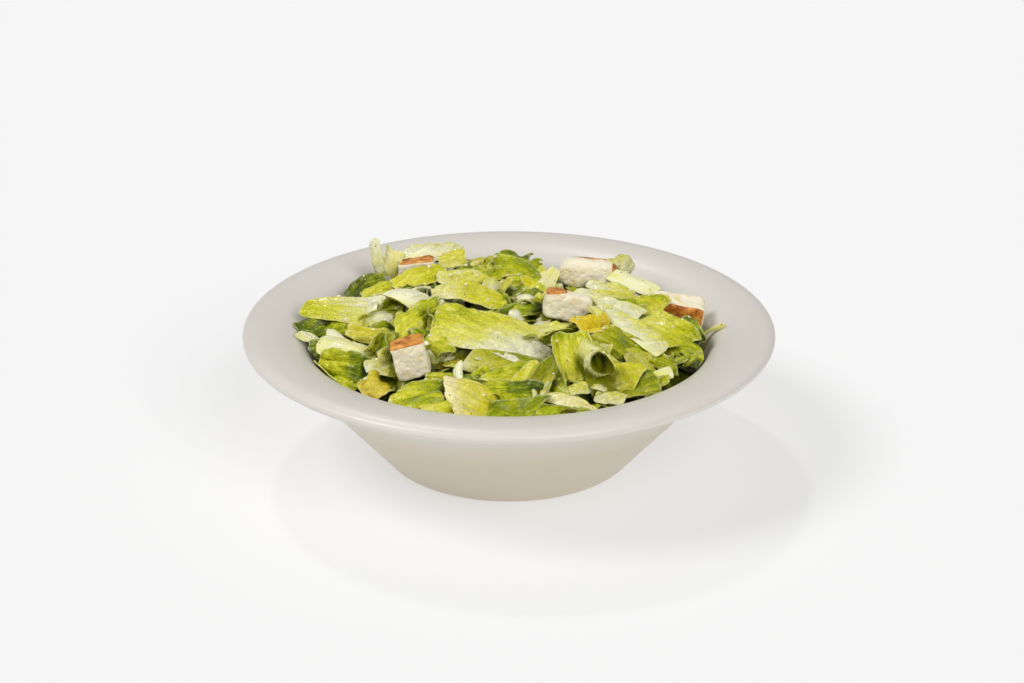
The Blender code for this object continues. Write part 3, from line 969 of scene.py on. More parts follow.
BACK_LEAVES = {
    "pointed_white": piece((-43.5, -1, 76), (26, 11), -22, (-90, 24), (64, 7), taper=0.55, corners=8,
                           lively=0.5, green=-0.16, quilt=0.15, shade=1.05),
    "bright_back": piece((-42, 33, 72), (26, 12), 30, (-92, 30), (118, 24), cup=-40, ruffle=0.8,
                         lively=0.5, green=-0.08, yellow=0.1, shade=1.08),
    "back_mid": piece((-27, 59, 70.5), (13, 10), 4, (-90, 30), (100, 18), yellow=0.15, green=-0.1),
    "rounded_back": piece((-21.5, 31, 73), (23, 10), -14, (-90, 24), (112, 20), corners=2.6, cup=-60,
                          green=-0.06),
    "crinkled_back": piece((-18, 6, 75), (33, 11), -9, (-90, 22), (112, 22), quilt=0.9, cup=-46,
                           yellow=0.1, green=-0.12, shade=1.05),
    "back_cream": piece((-38, 73, 69.5), (29, 12), 6, (-92, 28), (50, 6), corners=4, lively=0.6,
                        green=-0.1),
    "between_left": piece((-60, 26, 67.5), (15, 10), 34, (-90, 26), (110, 20), green=0.0),
    "dark_back_high": piece((-2, 55, 70), (25, 17), 20, (-90, 26), (152, 26), quilt=0.8, cup=-50,
                            green=0.14),
    "dark_back_mid": piece((6, 38, 71), (26, 17), -18, (-90, 26), (146, 26), quilt=0.8, cup=-46,
                           green=0.08),
    "dark_back_left": piece((-9, 40, 71.5), (22, 13), 24, (-90, 22), (140, 22), cup=-60, green=0.04),
    "dark_back_low": piece((9, 6, 71), (20, 13), 20, (-90, 22), (158, 26), quilt=0.9, cup=-40,
                           green=0.22, shade=0.9),
    "back_edge": piece((8.5, 50, 69), (17, 9), 34, (-90, 34), (132, 32), ruffle=1.4, green=0.1),
    "behind_broad": piece((1, -2, 70.5), (26, 13), 12, (-92, 26), (140, 26), cup=-44, green=0.12),
    "beside_crouton": piece((47, 22, 71), (22, 8), -24, (-90, 24), (90, 14), green=-0.06),
}

RIB_PIECES = {
    "white_rib": piece((53.5, -24, 71.5), (42, 11), -53, (-112, 30), (84, 8), turn=0, fold=-34, bend=-34,
                       corners=6, lively=0.35, green=-0.06),
    "pale_rib_left": piece((-71, -34, 64), (29, 12), -32, (-112, 26), (44, 2), bend=-10, cup=-40,
                           lively=0.35),
    "rib_middle": piece((-55, -49, 62.5), (16, 8), -18, (-90, 30), (76, 8), turn=0, lively=0.4, shade=0.9),
    "small_pale": piece((-54, -45, 66.5), (7, 6), 55, (-90, 46), (70, 8), turn=0, cup=-90, green=-0.04),
    "pale_strip": piece((25, -78, 59.5), (27, 6), -26, (-90, 26), (74, 8), turn=0, taper=-0.35, corners=4,
                        lively=0.5, green=-0.06, yellow=0.3, shade=1.04),
    "rib_front_right": piece((27.5, -70, 61), (13, 6), 20, (-90, 30), (76, 9), turn=0, lively=0.4, shade=0.9),
    "rib_lower_right": piece((43, -72, 58.5), (13, 6), -8, (-80, 32), (80, 9), turn=0, lively=0.4, shade=0.9),
    "rib_right": piece((66.5, -52, 60), (10, 5), 32, (-70, 30), (50, 0), lively=0.35, green=0.1),
    "right_strip": piece((61, -58, 58), (18, 4), 34, (-75, 50), (140, 32), green=-0.1),
    "white_wedge": piece((57, 29, 71), (25, 9), -28, (-90, 24), (34, 0), corners=3.5, lively=0.35,
                         shade=1.05),
    "standing_rib": piece((18, 20, 75), (13, 6.5), 74, (-90, 62), (40, 3), taper=-0.3, yellow=0.1,
                          lively=0.3),
    "back_small_white": piece((-6, 15, 75), (11, 7), 26, (-90, 24), (72, 9), turn=0, green=0.0, shade=0.92),
    "upright_strip": piece((-62, 53, 74), (17, 5.5), 86, (-98, 74), (60, 5), corners=4, lively=0.35,
                           green=-0.08),
    "rounded_right": piece((69.5, 9, 68), (18, 11), -12, (-90, 30), (64, 9), corners=3, cup=-40,
                           lively=0.35, green=-0.06),
}

CURLED_LEAVES = {
    "yellow_curl": piece((-57.5, -62, 60), (12, 15), -55, (-92, 40), (100, 18), turn=0, cup=-150, yellow=0.7,
                         green=-0.12, shade=0.95),
    "yellow_left": piece((-63, -20, 66), (18, 9), -22, (-92, 34), (96, 22), cup=-60, yellow=0.35,
                         green=-0.08),
    "boat": piece((29, -52, 68), (25, 21), 98, (-98, 46), (132, 12), corners=3.4, cup=84, bend=18,
                  lip=20, lively=0.5, green=0.1, shade=1.04),
    "loop": piece((46, -60, 63.5), (20, 19), -20, (-90, 30), (70, 14), cup=-90, lively=0.6,
                  green=-0.02, yellow=0.15),
    "loop_mouth": piece((37.5, -57, 66), (15, 29), -80, (-90, 6), (50, 6), turn=0, cup=300,
                        lively=0.35),
    "ring": piece((77, -35, 58), (7, 17), 35, (-90, 10), (128, 30), cup=330, green=0.02),
    "left_mid": piece((-57, -34, 66.5), (12, 11), 72, (-62, 40), (140, 20), cup=70, green=0.05, shade=0.85),
    "left_tip": piece((-90, -14, 61.5), (10, 5), 150, (-90, 20), (90, 12), cup=60, green=-0.14),
    "roll_behind": piece((52, 51, 74), (10, 18), 62, (-90, 12), (86, 10), cup=-240, yellow=0.1, shade=0.9),
    "folded_upright": piece((-54.5, 52, 71.5), (13, 10), 84, (-92, 64), (110, 0), fold=80, yellow=0.2),
    "back_yellow": piece((-14, 60, 69.5), (16, 12), 20, (-90, 24), (80, 12), cup=-80, yellow=0.35,
                         green=-0.08),
    "front_curl": piece((-29, -80, 57), (12, 14), 20, (-90, 30), (104, 18), cup=-140, green=0.0),
    "under_boat": piece((14, -66, 62.5), (17, 13), 60, (-84, 44), (110, 14), cup=90, green=0.06,
                        shade=0.72),
}

RUFFLED_LEAVES = {
    "bright_crinkled": piece((-41, -17, 73), (23, 15), 35, (-88, 28), (150, 30), lively=0.7, ruffle=1.6,
                             quilt=1.3, green=-0.10, shade=1.1),
    "dark_veined": piece((-73, -43, 58), (29, 19), -38, (-118, 40), (146, 22), quilt=1.2, ruffle=1.0,
                         green=0.12),
    "far_left": piece((-83, -3, 62.5), (27, 15), 192, (-112, 30), (156, 32), ruffle=2.4, quilt=1.0,
                      green=0.06),
    "dark_far_left": piece((-67.5, 35, 67), (22, 13), 200, (-140, 24), (152, 30), cup=-60, quilt=0.8,
                           ruffle=1.4, green=0.26, yellow=0.2, shade=0.85),
    "dark_right": piece((79.5, -15, 62.5), (17, 15), -70, (-104, 34), (165, 36), lively=0.6, ruffle=1.6,
                        quilt=1.2, green=0.14),
    "front_dark": piece((5, -73, 59.5), (27, 16), -12, (-90, 38), (160, 28), ruffle=2.0, quilt=1.0,
                        green=0.18),
    "front_mixed": piece((2, -82, 56.5), (25, 12), 8, (-90, 42), (142, 36), ruffle=2.2),
    "front_bottom_left": piece((-37, -77, 56.5), (23, 11), 4, (-98, 44), (120, 30), ruffle=1.4),
    "front_right_mixed": piece((22, -85, 55.5), (24, 10), -4, (-88, 44), (120, 34), ruffle=1.6,
                               green=0.06),
    "yellow_heart": piece((37, -26, 73.5), (16, 11), 10, (-90, 30), (84, 12), quilt=1.2, ruffle=0.8,
                          lively=0.5, yellow=1.0, green=-0.02, shade=1.05),
    "left_gap": piece((-80, -24, 60), (18, 12), 160, (-110, 30), (150, 30), ruffle=1.6, green=0.2),
}


LEAF_GROUPS = {
    "romaine_broad": BROAD_LEAVES,
    "romaine_back": BACK_LEAVES,
    "romaine_ribs": RIB_PIECES,
    "romaine_curled": CURLED_LEAVES,
    "romaine_ruffled": RUFFLED_LEAVES,
}


class SALAD_OT_leaves(bpy.types.Operator):
    """Cut and lay the pieces of romaine that show on top of the heap"""

    bl_idname = "salad.leaves"
    bl_label = "Cut Leaves"

    def execute(self, context):
        sizes = context.scene.salad_leaves
        material = romaine(sizes)
        for name, cuts in LEAF_GROUPS.items():
            made = leaf_object(name, cuts.values(), material, sizes.grain / MM)
            finish_piece(made, "romaine", "lettuce")
        return {"FINISHED"}


# ---------------------------------------------------------------- the core and the scattered pieces


def core_height(x, y):
    radius = np.hypot(x, y)
    lumps = 2.2 * rough_noise(x / 14, y / 14, 0.3, 21, 3)
    inside = heap_height(radius) - CORE_DEPTH + lumps
    return inside + (CORE_EDGE_HEIGHT - inside) * smooth_step((radius - 66) / 16)


def core_object(material):
    """A lumpy dome of packed leaf under the separate pieces."""
    rings, columns = 40, 128
    radii = [np.interp(CORE_EDGE_HEIGHT, WALL_HEIGHTS[5:], WALL_RADII[5:]) - 1.0]
    radii = np.linspace(0, 1, rings + 1)[1:] * radii[0]
    azimuth = np.linspace(0, math.tau, columns, endpoint=False)
    points = []
    for radius in radii:
        x = radius * np.cos(azimuth)
        y = radius * np.sin(azimuth)
        points.append(np.stack([x, y, core_height(x, y)], -1))
    for height in (36.0, 26.0, 18.0):
        radius = np.interp(height, WALL_HEIGHTS[5:], WALL_RADII[5:]) - 1.5
        points.append(np.stack([radius * np.cos(azimuth), radius * np.sin(azimuth),
                                np.full(columns, height)], -1))
    levels = len(points)
    points = np.concatenate(points)
    index = np.arange(levels * columns).reshape(levels, columns)
    after = np.roll(index, -1, axis=1)
    walls = np.stack([index[:-1], index[1:], after[1:], after[:-1]], -1).reshape(-1, 4)
    crown = len(points)
    points = np.concatenate([points, [[0, 0, core_height(0.0, 0.0)], [0, 0, 18.0]]])
    bm_faces = [tuple(face) for face in walls]
    bm_faces += [(crown, index[0, k], after[0, k]) for k in range(columns)]
    bm_faces += [(crown + 1, after[-1, k], index[-1, k]) for k in range(columns)]
    mesh = bpy.data.meshes.new("lettuce_core")
    mesh.from_pydata((points * MM).tolist(), [], [tuple(int(i) for i in face) for face in bm_faces])
    mesh.shade_smooth()
    mesh.materials.append(material)
    made = bpy.data.objects.new("lettuce_core", mesh)
    bpy.context.scene.collection.objects.link(made)
    return made


def packed_leaf(sizes):
    """Wet lettuce deep in the heap, near black-green as painted shade for the gaps between pieces, painted
    darker along its creases.
    """
    material, graph, surface = shader("packed_romaine_painted_shade")
    place = object_coordinates(graph)
    patches = graph.noise(place, 60.0, 4.0)
    creases_and_shade = graph.span(graph.cells(place, 160.0, "DISTANCE_TO_EDGE"), 0.12, 0.0)
    # Painted shade: near-black greens for the shaded gaps between the pieces
    colour = graph.ramp(patches, (
        (0.30, linear(30, 38, 6)), (0.50, linear(62, 74, 14)), (0.70, linear(104, 112, 34)),
    ))
    # Painted shade along the creases, which also give the bump
    colour = graph.mix(graph.math("MULTIPLY", creases_and_shade, 0.5), colour, tuple(sizes.dark_green))
    graph.plug(surface.inputs["Base Color"], colour)
    surface.inputs["Roughness"].default_value = 0.4
    graph.plug(surface.inputs["Normal"], graph.bump(creases_and_shade, 0.6, 0.001))
    return material


MASTER_ROWS = 23
MASTER_COLUMNS = 15

# Pieces that the scatter repeats, made about the origin
SCATTER_CUTS = (
    piece((0, 0, 0), (34, 20), 0, part=(70, 16), bend=-30, cup=-24, green=-0.08),
    piece((0, 0, 0), (26, 22), 0, part=(110, 24), bend=-24, cup=-34, quilt=0.6),
    piece((0, 0, 0), (30, 15), 0, part=(140, 30), bend=20, cup=-40, ruffle=2.0, quilt=0.6, green=0.06),
    piece((0, 0, 0), (24, 24), 0, part=(156, 30), bend=-34, cup=30, ruffle=2.4, quilt=0.8, green=0.16),
    piece((0, 0, 0), (28, 10), 0, part=(72, 8), turn=0, bend=-14, cup=-16),
    piece((0, 0, 0), (22, 14), 0, part=(90, 14), bend=-10, cup=-20, green=0.0),
    piece((0, 0, 0), (36, 17), 0, part=(96, 20), turn=20, bend=-28, cup=26, twist=20),
    piece((0, 0, 0), (22, 18), 0, part=(84, 14), corners=3, bend=-26, cup=-50, yellow=0.3),
    piece((0, 0, 0), (30, 20), 0, part=(150, 20), bend=-26, cup=-30, twist=-24, green=0.12),
    piece((0, 0, 0), (18, 16), 0, part=(130, 34), corners=3, bend=30, cup=60, ruffle=1.6),
    piece((0, 0, 0), (32, 13), 0, part=(104, 30), bend=-36, cup=-20, twist=30, green=-0.06),
    piece((0, 0, 0), (26, 19), 0, part=(120, 6), fold=34, bend=-18, cup=-20, flip=True),
)

# Stretches of wall left bare: middle and half width in degrees, seen from the middle of the bowl
BARE_SECTORS = ((82, 13), (40, 13), (150, 11))


def scatter_tree(material):
    """Lays random pieces from a collection over a surface, tilted and lifted at random."""
    inputs = {"Pieces": "Collection", "Spacing": "Float", "Tilt": "Float", "Lift": "Float", "Seed": "Int"}
    graph, given, result, identifiers = node_tree("scattered_leaves", inputs)
    spread = graph.add("GeometryNodeDistributePointsOnFaces", {
        "Mesh": given.outputs["Geometry"],
        "Distance Min": given.outputs["Spacing"],
        "Density Max": 60000.0,
        "Seed": given.outputs["Seed"],
    }, distribute_method="POISSON")
    allowed = graph.add("GeometryNodeInputNamedAttribute", {"Name": "allowed"}, data_type="FLOAT")
    graph.plug(spread.inputs["Density Factor"], allowed.outputs[0])
    source = graph.add("GeometryNodeCollectionInfo", {
        "Collection": given.outputs["Pieces"], "Separate Children": True, "Reset Children": True,
    })
    which = graph.add("FunctionNodeRandomValue", {4: 0, 5: len(SCATTER_CUTS) - 1, "Seed": 1},
                      data_type="INT")
    grown = graph.add("FunctionNodeRandomValue", {2: 0.75, 3: 1.15, "Seed": 2}, data_type="FLOAT")
    laid = graph.add("GeometryNodeInstanceOnPoints", {
        "Points": spread.outputs["Points"],
        "Instance": source.outputs[0],
        "Pick Instance": True,
        "Instance Index": which.outputs[2],
        "Rotation": spread.outputs["Rotation"],
        "Scale": grown.outputs[1],
    })
    tilt_low = graph.math("MULTIPLY", given.outputs["Tilt"], -1.0)
    low = graph.add("ShaderNodeCombineXYZ", {0: tilt_low, 1: tilt_low, 2: -math.pi}).outputs[0]
    high = graph.add("ShaderNodeCombineXYZ", {0: given.outputs["Tilt"], 1: given.outputs["Tilt"],
                                              2: math.pi}).outputs[0]
    turn = graph.add("FunctionNodeRandomValue", {0: low, 1: high, "Seed": 3}, data_type="FLOAT_VECTOR")
    turned = graph.add("GeometryNodeRotateInstances", {
        "Instances": laid.outputs[0], "Rotation": turn.outputs[0], "Local Space": True,
    })
    rise = graph.add("FunctionNodeRandomValue", {2: 0.0, 3: given.outputs["Lift"], "Seed": 4},
                     data_type="FLOAT")
    offset = graph.add("ShaderNodeCombineXYZ", {2: rise.outputs[1]}).outputs[0]
    lifted = graph.add("GeometryNodeTranslateInstances", {
        "Instances": turned.outputs[0], "Translation": offset, "Local Space": False,
    })
    whole = graph.add("GeometryNodeRealizeInstances", {0: lifted.outputs[0]})
    finished = graph.add("GeometryNodeSetMaterial", {0: whole.outputs[0], "Material": material})
    graph.plug(result.inputs[0], finished.outputs[0])
    return graph, identifiers


def scatter_allowed(x, y):
    """1 where the scatter may lay a piece, and 0 along the bare stretches of wall."""
    radius = np.hypot(x, y)
    azimuth = np.degrees(np.arctan2(y, x))
    allowed = np.ones_like(radius)
    for middle, half_width in BARE_SECTORS:
        away = np.abs((azimuth - middle + 180) % 360 - 180)
        allowed[(away < half_width) & (radius > 62)] = 0.0
    allowed[radius > 80] = 0.0
    return allowed


def thin_out(mesh, material):
    """Takes out scattered pieces that would run through a crouton, and keeps the rest inside the bowl."""
    count = len(mesh.vertices)
    points = np.empty(count * 3, np.float32)
    mesh.vertices.foreach_get("co", points)
    block = 2 * MASTER_ROWS * MASTER_COLUMNS
    points = points.reshape(-1, 2, block // 2, 3).astype(float) / MM
    middle = points.mean(axis=1)
    keep = np.ones(len(points), bool)
    for name in CROUTONS:
        low, high = (np.array(corner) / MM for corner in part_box(name))
        centre = (low + high) / 2
        reach = (high - low) / 2 * (0.95, 0.95, 1.0)
        within = (np.abs(middle[..., :2] - centre[:2]) < reach[:2]).all(-1) & (middle[..., 2] > centre[2] - 2)
        keep &= within.mean(axis=1) < 0.04
    laid = top_map([o.data for o in bpy.context.scene.objects if o.name in LEAF_GROUPS])
    under = laid[tuple(shelter_cells(middle.reshape(-1, 3)))].reshape(middle.shape[:2])
    keep &= ((under > 0) & (middle[..., 2] > under + 0.5)).mean(axis=1) < 0.12
    radius = np.hypot(middle[..., 0], middle[..., 1])
    azimuth = np.degrees(np.arctan2(middle[..., 1], middle[..., 0]))
    for sector, half_width in BARE_SECTORS:
        away = np.abs((azimuth - sector + 180) % 360 - 180)
        outside = (away < half_width * 0.8) & (radius > 78)
        keep &= outside.mean(axis=1) < 0.02
    keep &= ~((radius > 86) & (middle[..., 2] > 58)).any(axis=1)
    points = points[keep]
    points += clear_of_wall(points.mean(axis=1), WALL_CLEARANCE)[:, None]
    fields = {}
    for key in ("greenness", "rib", "underside", "cut_edge"):
        values = np.empty(count, np.float32)
        mesh.attributes[key].data.foreach_get("value", values)
        fields[key] = values.reshape(-1, block)[keep].ravel()
    for key in ("veins", "leaf_place", "tone"):
        values = np.empty(count * 3, np.float32)
        mesh.attributes[key].data.foreach_get("vector", values)
        values = values.reshape(-1, block, 3)[keep]
        if key == "tone":
            values[..., 0] *= (1 + 0.14 * lattice_value(np.arange(len(values)), 3, 5, 7))[:, None]
        if key == "leaf_place":
            values[..., 2] += np.arange(len(values))[:, None]
        fields[key] = values.reshape(-1, 3)
    greener = 0.22 * lattice_value(np.arange(len(points)), 1, 2, 9)
    fields["greenness"] = fields["greenness"] + np.repeat(greener, block)
    faces = grid_faces(MASTER_ROWS, MASTER_COLUMNS)
    faces = (faces[None] + (np.arange(len(points)) * block)[:, None, None]).reshape(-1, 4)
    points = points.reshape(-1, 3)
    fields["shelter"] = np.zeros(len(points))
    return points, faces, fields


def set_occlusion_for_shade():
    """Works out how closed in each point of the lettuce is, once every piece is in its place, for the leaves'
    painted shade.
    """
    shown = [o for o in bpy.context.scene.objects if o.type == "MESH"]
    lettuce = [o.data for o in shown if "shelter" in o.data.attributes]
    bread = [o.data for o in bpy.context.scene.objects if o.name.endswith("_bread")]
    top = top_map(lettuce + bread)
    for mesh in lettuce:
        normals = np.empty(len(mesh.vertices) * 3, np.float32)
        mesh.vertex_normals.foreach_get("vector", normals)
        values = shelter(mesh_points(mesh), normals.reshape(-1, 3), top)
        mesh.attributes["shelter"].data.foreach_set("value", values.astype(np.float32))


class SALAD_OT_heap(bpy.types.Operator):
    """Fill the bowl: a packed core, and smaller pieces of leaf scattered over it"""

    bl_idname = "salad.heap"
    bl_label = "Heap"

    def execute(self, context):
        sizes = context.scene.salad_leaves
        material = bpy.data.materials["dressed_romaine"]
        core = core_object(packed_leaf(sizes))
        pieces = bpy.data.collections.new("scatter_pieces")
        context.scene.collection.children.link(pieces)
        for number, cut in enumerate(SCATTER_CUTS):
            cut = cut._replace(key=cut.key + number * 11)
            sheet = closed_sheet(*leaf_sheet(cut, MASTER_ROWS, MASTER_COLUMNS))
            name = f"scatter_piece_{number:02d}"
            master = mesh_object(name, sheet[0], grid_faces(MASTER_ROWS, MASTER_COLUMNS), material,
                                 sheet[1], sharp_degrees=0)
            context.scene.collection.objects.unlink(master)
            pieces.objects.link(master)
        for layer, (spacing, lift) in enumerate(((1.0, 0.4), (1.25, 1.0))):
            carrier = core.copy()
            carrier.data = core.data.copy()
            context.scene.collection.objects.link(carrier)
            co = np.empty(len(carrier.data.vertices) * 3, np.float32)
            carrier.data.vertices.foreach_get("co", co)
            co = co.reshape(-1, 3) / MM
            allowed = scatter_allowed(co[:, 0], co[:, 1]) * (co[:, 2] > CORE_EDGE_HEIGHT)
            field = carrier.data.attributes.new("allowed", "FLOAT", "POINT")
            field.data.foreach_set("value", allowed.astype(np.float32))
            graph, identifiers = scatter_tree(material)
            add_tree(carrier, graph, identifiers, {
                "Pieces": pieces,
                "Spacing": sizes.spacing * spacing,
                "Tilt": sizes.tilt,
                "Lift": sizes.lift * lift,
                "Seed": sizes.seed + layer,
            })
            name = ("romaine_packed", "romaine_tossed")[layer]
            rough = realised(carrier, name + "_rough")
            points, faces, fields = thin_out(rough.data, material)
            bpy.data.objects.remove(rough, do_unlink=True)
            made = mesh_object(name, points, faces, material, fields)
            finish_piece(made, "romaine", "lettuce")
        set_occlusion_for_shade()
        for master in list(pieces.objects):
            bpy.data.objects.remove(master, do_unlink=True)
        bpy.data.collections.remove(pieces)
        finish_piece(core, "romaine", "lettuce")
        return {"FINISHED"}


# ---------------------------------------------------------------- croutons


# Centre, size along their own X, Y and Z, tilt about X, Y and Z, as the CAD has them, how square, and
# the sides with crust: which way each
# faces, and how far out on the unit cube it starts
CROUTONS = {
    "crouton_front_left": ((-42.5, -49.5, 67.2), (14.8, 13.0, 16.4), (-6, -14, 4), 13.0,
                           (((0, 0, 1), 0.80),)),
    "crouton_centre": ((26.2, -6.0, 73.5), (21.5, 14.0, 13.0), (-12, 12, -4), 6.5,
                       (((-0.4, 0, 0.92), 0.93),)),
    "crouton_back_right": ((37.0, 39.0, 71.5), (27.5, 17.0, 14.5), (-10, 3, -6), 3.0,
                           (((0, 0.25, 0.97), 0.93), ((1, 0, 0.1), 0.84))),
    "crouton_right": ((76.5, 12.0, 63.5), (25.0, 14.0, 13.0), (4, 8, -6), 8.0, (((0, -1, 0), 0.80),)),
    "crouton_back_left": ((-43.0, 48.0, 69.0), (17.5, 13.0, 12.0), (-8, -5, 4), 8.0,
                          (((0, 0, 1), 0.84),)),
}
CROUTON_CUTS = 40


def crust_share(place, sides):
    """1 on a crust side of the unit cube, falling to 0 a little way in from it."""
    return max(smooth_step((Vector(side).dot(place) - start) / 0.10) for side, start in sides)


def crouton_object(name, key, sizes, material):
    """One bread cube: rounded edges, an open crumb with pores, and smoother crust on its crust sides."""
    centre, size, tilt, squareness, sides = CROUTONS[name]
    bm = bmesh.new()
    bmesh.ops.create_cube(bm, size=2.0)
    bmesh.ops.subdivide_edges(bm, edges=bm.edges, cuts=CROUTON_CUTS, use_grid_fill=True)
    crust_layer = bm.verts.layers.float.new("crust")
    shift = Vector((key * 3.1, key * 1.7, key * 0.9))
    for vert in bm.verts:
        spread = sum(abs(c) ** squareness for c in vert.co) ** (1 / squareness)
        place = vert.co / spread
        crust = crust_share(place, sides)
        half = Vector(side / 2 for side in size)
        point = Vector(place[k] * half[k] for k in range(3))
        outward = Vector(place[k] ** 5 for k in range(3)).normalized()
        lump = 0.55 * noise.noise(point / 6 + shift) + 0.25 * noise.noise(point / 2.3 + shift)
        open_pore = noise.voronoi(point / 2.1 + shift)[0][0]
        fine_pore = noise.voronoi(point / 0.95 + shift)[0][0]
        depth = max(0.0, 0.42 - open_pore) * 2.6 + max(0.0, 0.45 - fine_pore) * 0.8
        lump -= depth * sizes.pore_depth / MM * (1 - 0.85 * crust)
        vert.co = point + outward * (lump - 0.1)
        vert[crust_layer] = crust
    turn = Euler([math.radians(angle) for angle in tilt]).to_matrix().to_4x4()
    bm.transform(Matrix.Scale(MM, 4) @ Matrix.Translation(centre) @ turn)
    bmesh.ops.recalc_face_normals(bm, faces=bm.faces)
    mesh = bpy.data.meshes.new(name + "_bread")
    bm.to_mesh(mesh)
    bm.free()
    mesh.shade_smooth()
    mesh.materials.append(material)
    made = bpy.data.objects.new(name + "_bread", mesh)
    bpy.context.scene.collection.objects.link(made)
    return made


def bread(sizes):
    """White crumb, soaked yellowish in places, and baked crust."""
    material, graph, surface = shader("bread")
    place = object_coordinates(graph)
    crust = graph.attribute("crust")
    edge = graph.noise(place, 500.0, 3.0)
    crust = graph.math("MULTIPLY_ADD", graph.math("SUBTRACT", edge, 0.5), 0.7, crust)
    browned = graph.span(crust, 0.98, 0.60, 0.0, 0.75)
    toasted = graph.span(crust, 0.0, 0.35, 0.0, 0.35)
    crust = graph.span(crust, 0.35, 0.55)
    soaked = graph.span(graph.noise(place, 190.0, 3.0), 0.48, 0.70)
    crumb = graph.mix(soaked, tuple(sizes.crumb), tuple(sizes.soaked))
    baked = graph.noise(place, 240.0, 4.0)
    baked = graph.ramp(baked, (
        (0.27, tuple(sizes.crust_pale)), (0.46, tuple(sizes.crust)), (0.63, tuple(sizes.crust_dark)),
    ))
    baked = graph.mix(browned, baked, tuple(sizes.crust_dark))
    crumb = graph.mix(toasted, crumb, tuple(sizes.crust_pale))
    colour = graph.mix(crust, crumb, baked)
    graph.plug(surface.inputs["Base Color"], colour)
    graph.plug(surface.inputs["Roughness"], graph.span(crust, 0.0, 1.0, 0.85, 0.42))
    surface.inputs["Subsurface Weight"].default_value = 0.15
    surface.inputs["Subsurface Radius"].default_value = (1.0, 0.8, 0.5)
    surface.inputs["Subsurface Scale"].default_value = 0.0015
    grain = graph.math("MULTIPLY_ADD", graph.cells(place, 900.0), 0.6, graph.noise(place, 1500.0, 2.0))
    graph.plug(surface.inputs["Normal"], graph.bump(grain, 0.35, 0.0004))
    return material


class SALAD_PG_croutons(bpy.types.PropertyGroup):
    """Sizes and colours of the bread croutons."""

    pore_depth: bpy.props.FloatProperty(
        name="Pore Depth", description="Depth of the crumb's open pores", default=0.0005, unit="LENGTH"
    )
    crumb: bpy.props.FloatVectorProperty(
        name="Crumb", description="Colour of the white crumb", size=4, subtype="COLOR",
        default=linear(250, 240, 212),
    )
    soaked: bpy.props.FloatVectorProperty(
        name="Soaked Crumb", description="Colour where dressing has soaked in", size=4,
        subtype="COLOR", default=linear(240, 222, 168),
    )
    crust_pale: bpy.props.FloatVectorProperty(
        name="Pale Crust", description="Colour of lightly baked crust", size=4, subtype="COLOR",
        default=linear(244, 196, 112),
    )
    crust: bpy.props.FloatVectorProperty(
        name="Crust", description="Colour of the crust", size=4, subtype="COLOR",
        default=linear(234, 156, 56),
    )
    crust_dark: bpy.props.FloatVectorProperty(
        name="Dark Crust", description="Colour of well baked crust", size=4, subtype="COLOR",
        default=linear(172, 92, 22),
    )


class SALAD_OT_croutons(bpy.types.Operator):
    """Cut the bread croutons and lay them where the CAD has them"""

    bl_idname = "salad.croutons"
    bl_label = "Croutons"

    def execute(self, context):
        sizes = context.scene.salad_croutons
        material = bread(sizes)
        for key, name in enumerate(CROUTONS, start=1):
            made = crouton_object(name, key, sizes, material)
            finish_piece(made, "bread", name)
        return {"FINISHED"}


# ---------------------------------------------------------------- dressing, pepper and crumbs


class SALAD_PG_dressing(bpy.types.PropertyGroup):
    """Spacing and colours of what clings to the leaves."""

    drop_spacing: bpy.props.FloatProperty(
        name="Drop Spacing", description="Least distance between beads of dressing", default=0.0105,
        unit="LENGTH",
    )
    speck_spacing: bpy.props.FloatProperty(
        name="Speck Spacing", description="Least distance between specks of pepper", default=0.011,
        unit="LENGTH",
    )
    crumb_spacing: bpy.props.FloatProperty(
        name="Crumb Spacing", description="Least distance between bread crumbs", default=0.0125,
        unit="LENGTH",
    )
    dressing: bpy.props.FloatVectorProperty(
        name="Dressing", description="Colour of the dressing", size=4, subtype="COLOR",
        default=linear(226, 220, 140),
    )
    pepper: bpy.props.FloatVectorProperty(
        name="Pepper", description="Colour of the pepper", size=4, subtype="COLOR",
        default=linear(74, 62, 30),
    )


def grain_mesh(name, radius, flatness, lumpiness, key, material):
    """A small lumpy bead in millimetres, lying on the origin."""
    bm = bmesh.new()
    bmesh.ops.create_icosphere(bm, subdivisions=2, radius=radius * MM)
    for vert in bm.verts:
        lump = 1 + lumpiness * noise.noise(vert.co / (radius * MM) * 0.9 + Vector((key * 2.3, 0, key)))
        vert.co = Vector((vert.co.x * lump, vert.co.y * lump, vert.co.z * lump * flatness))
    mesh = bpy.data.meshes.new(name)
    bm.to_mesh(mesh)
    bm.free()
    mesh.shade_smooth()
    mesh.materials.append(material)
    return bpy.data.objects.new(name, mesh)


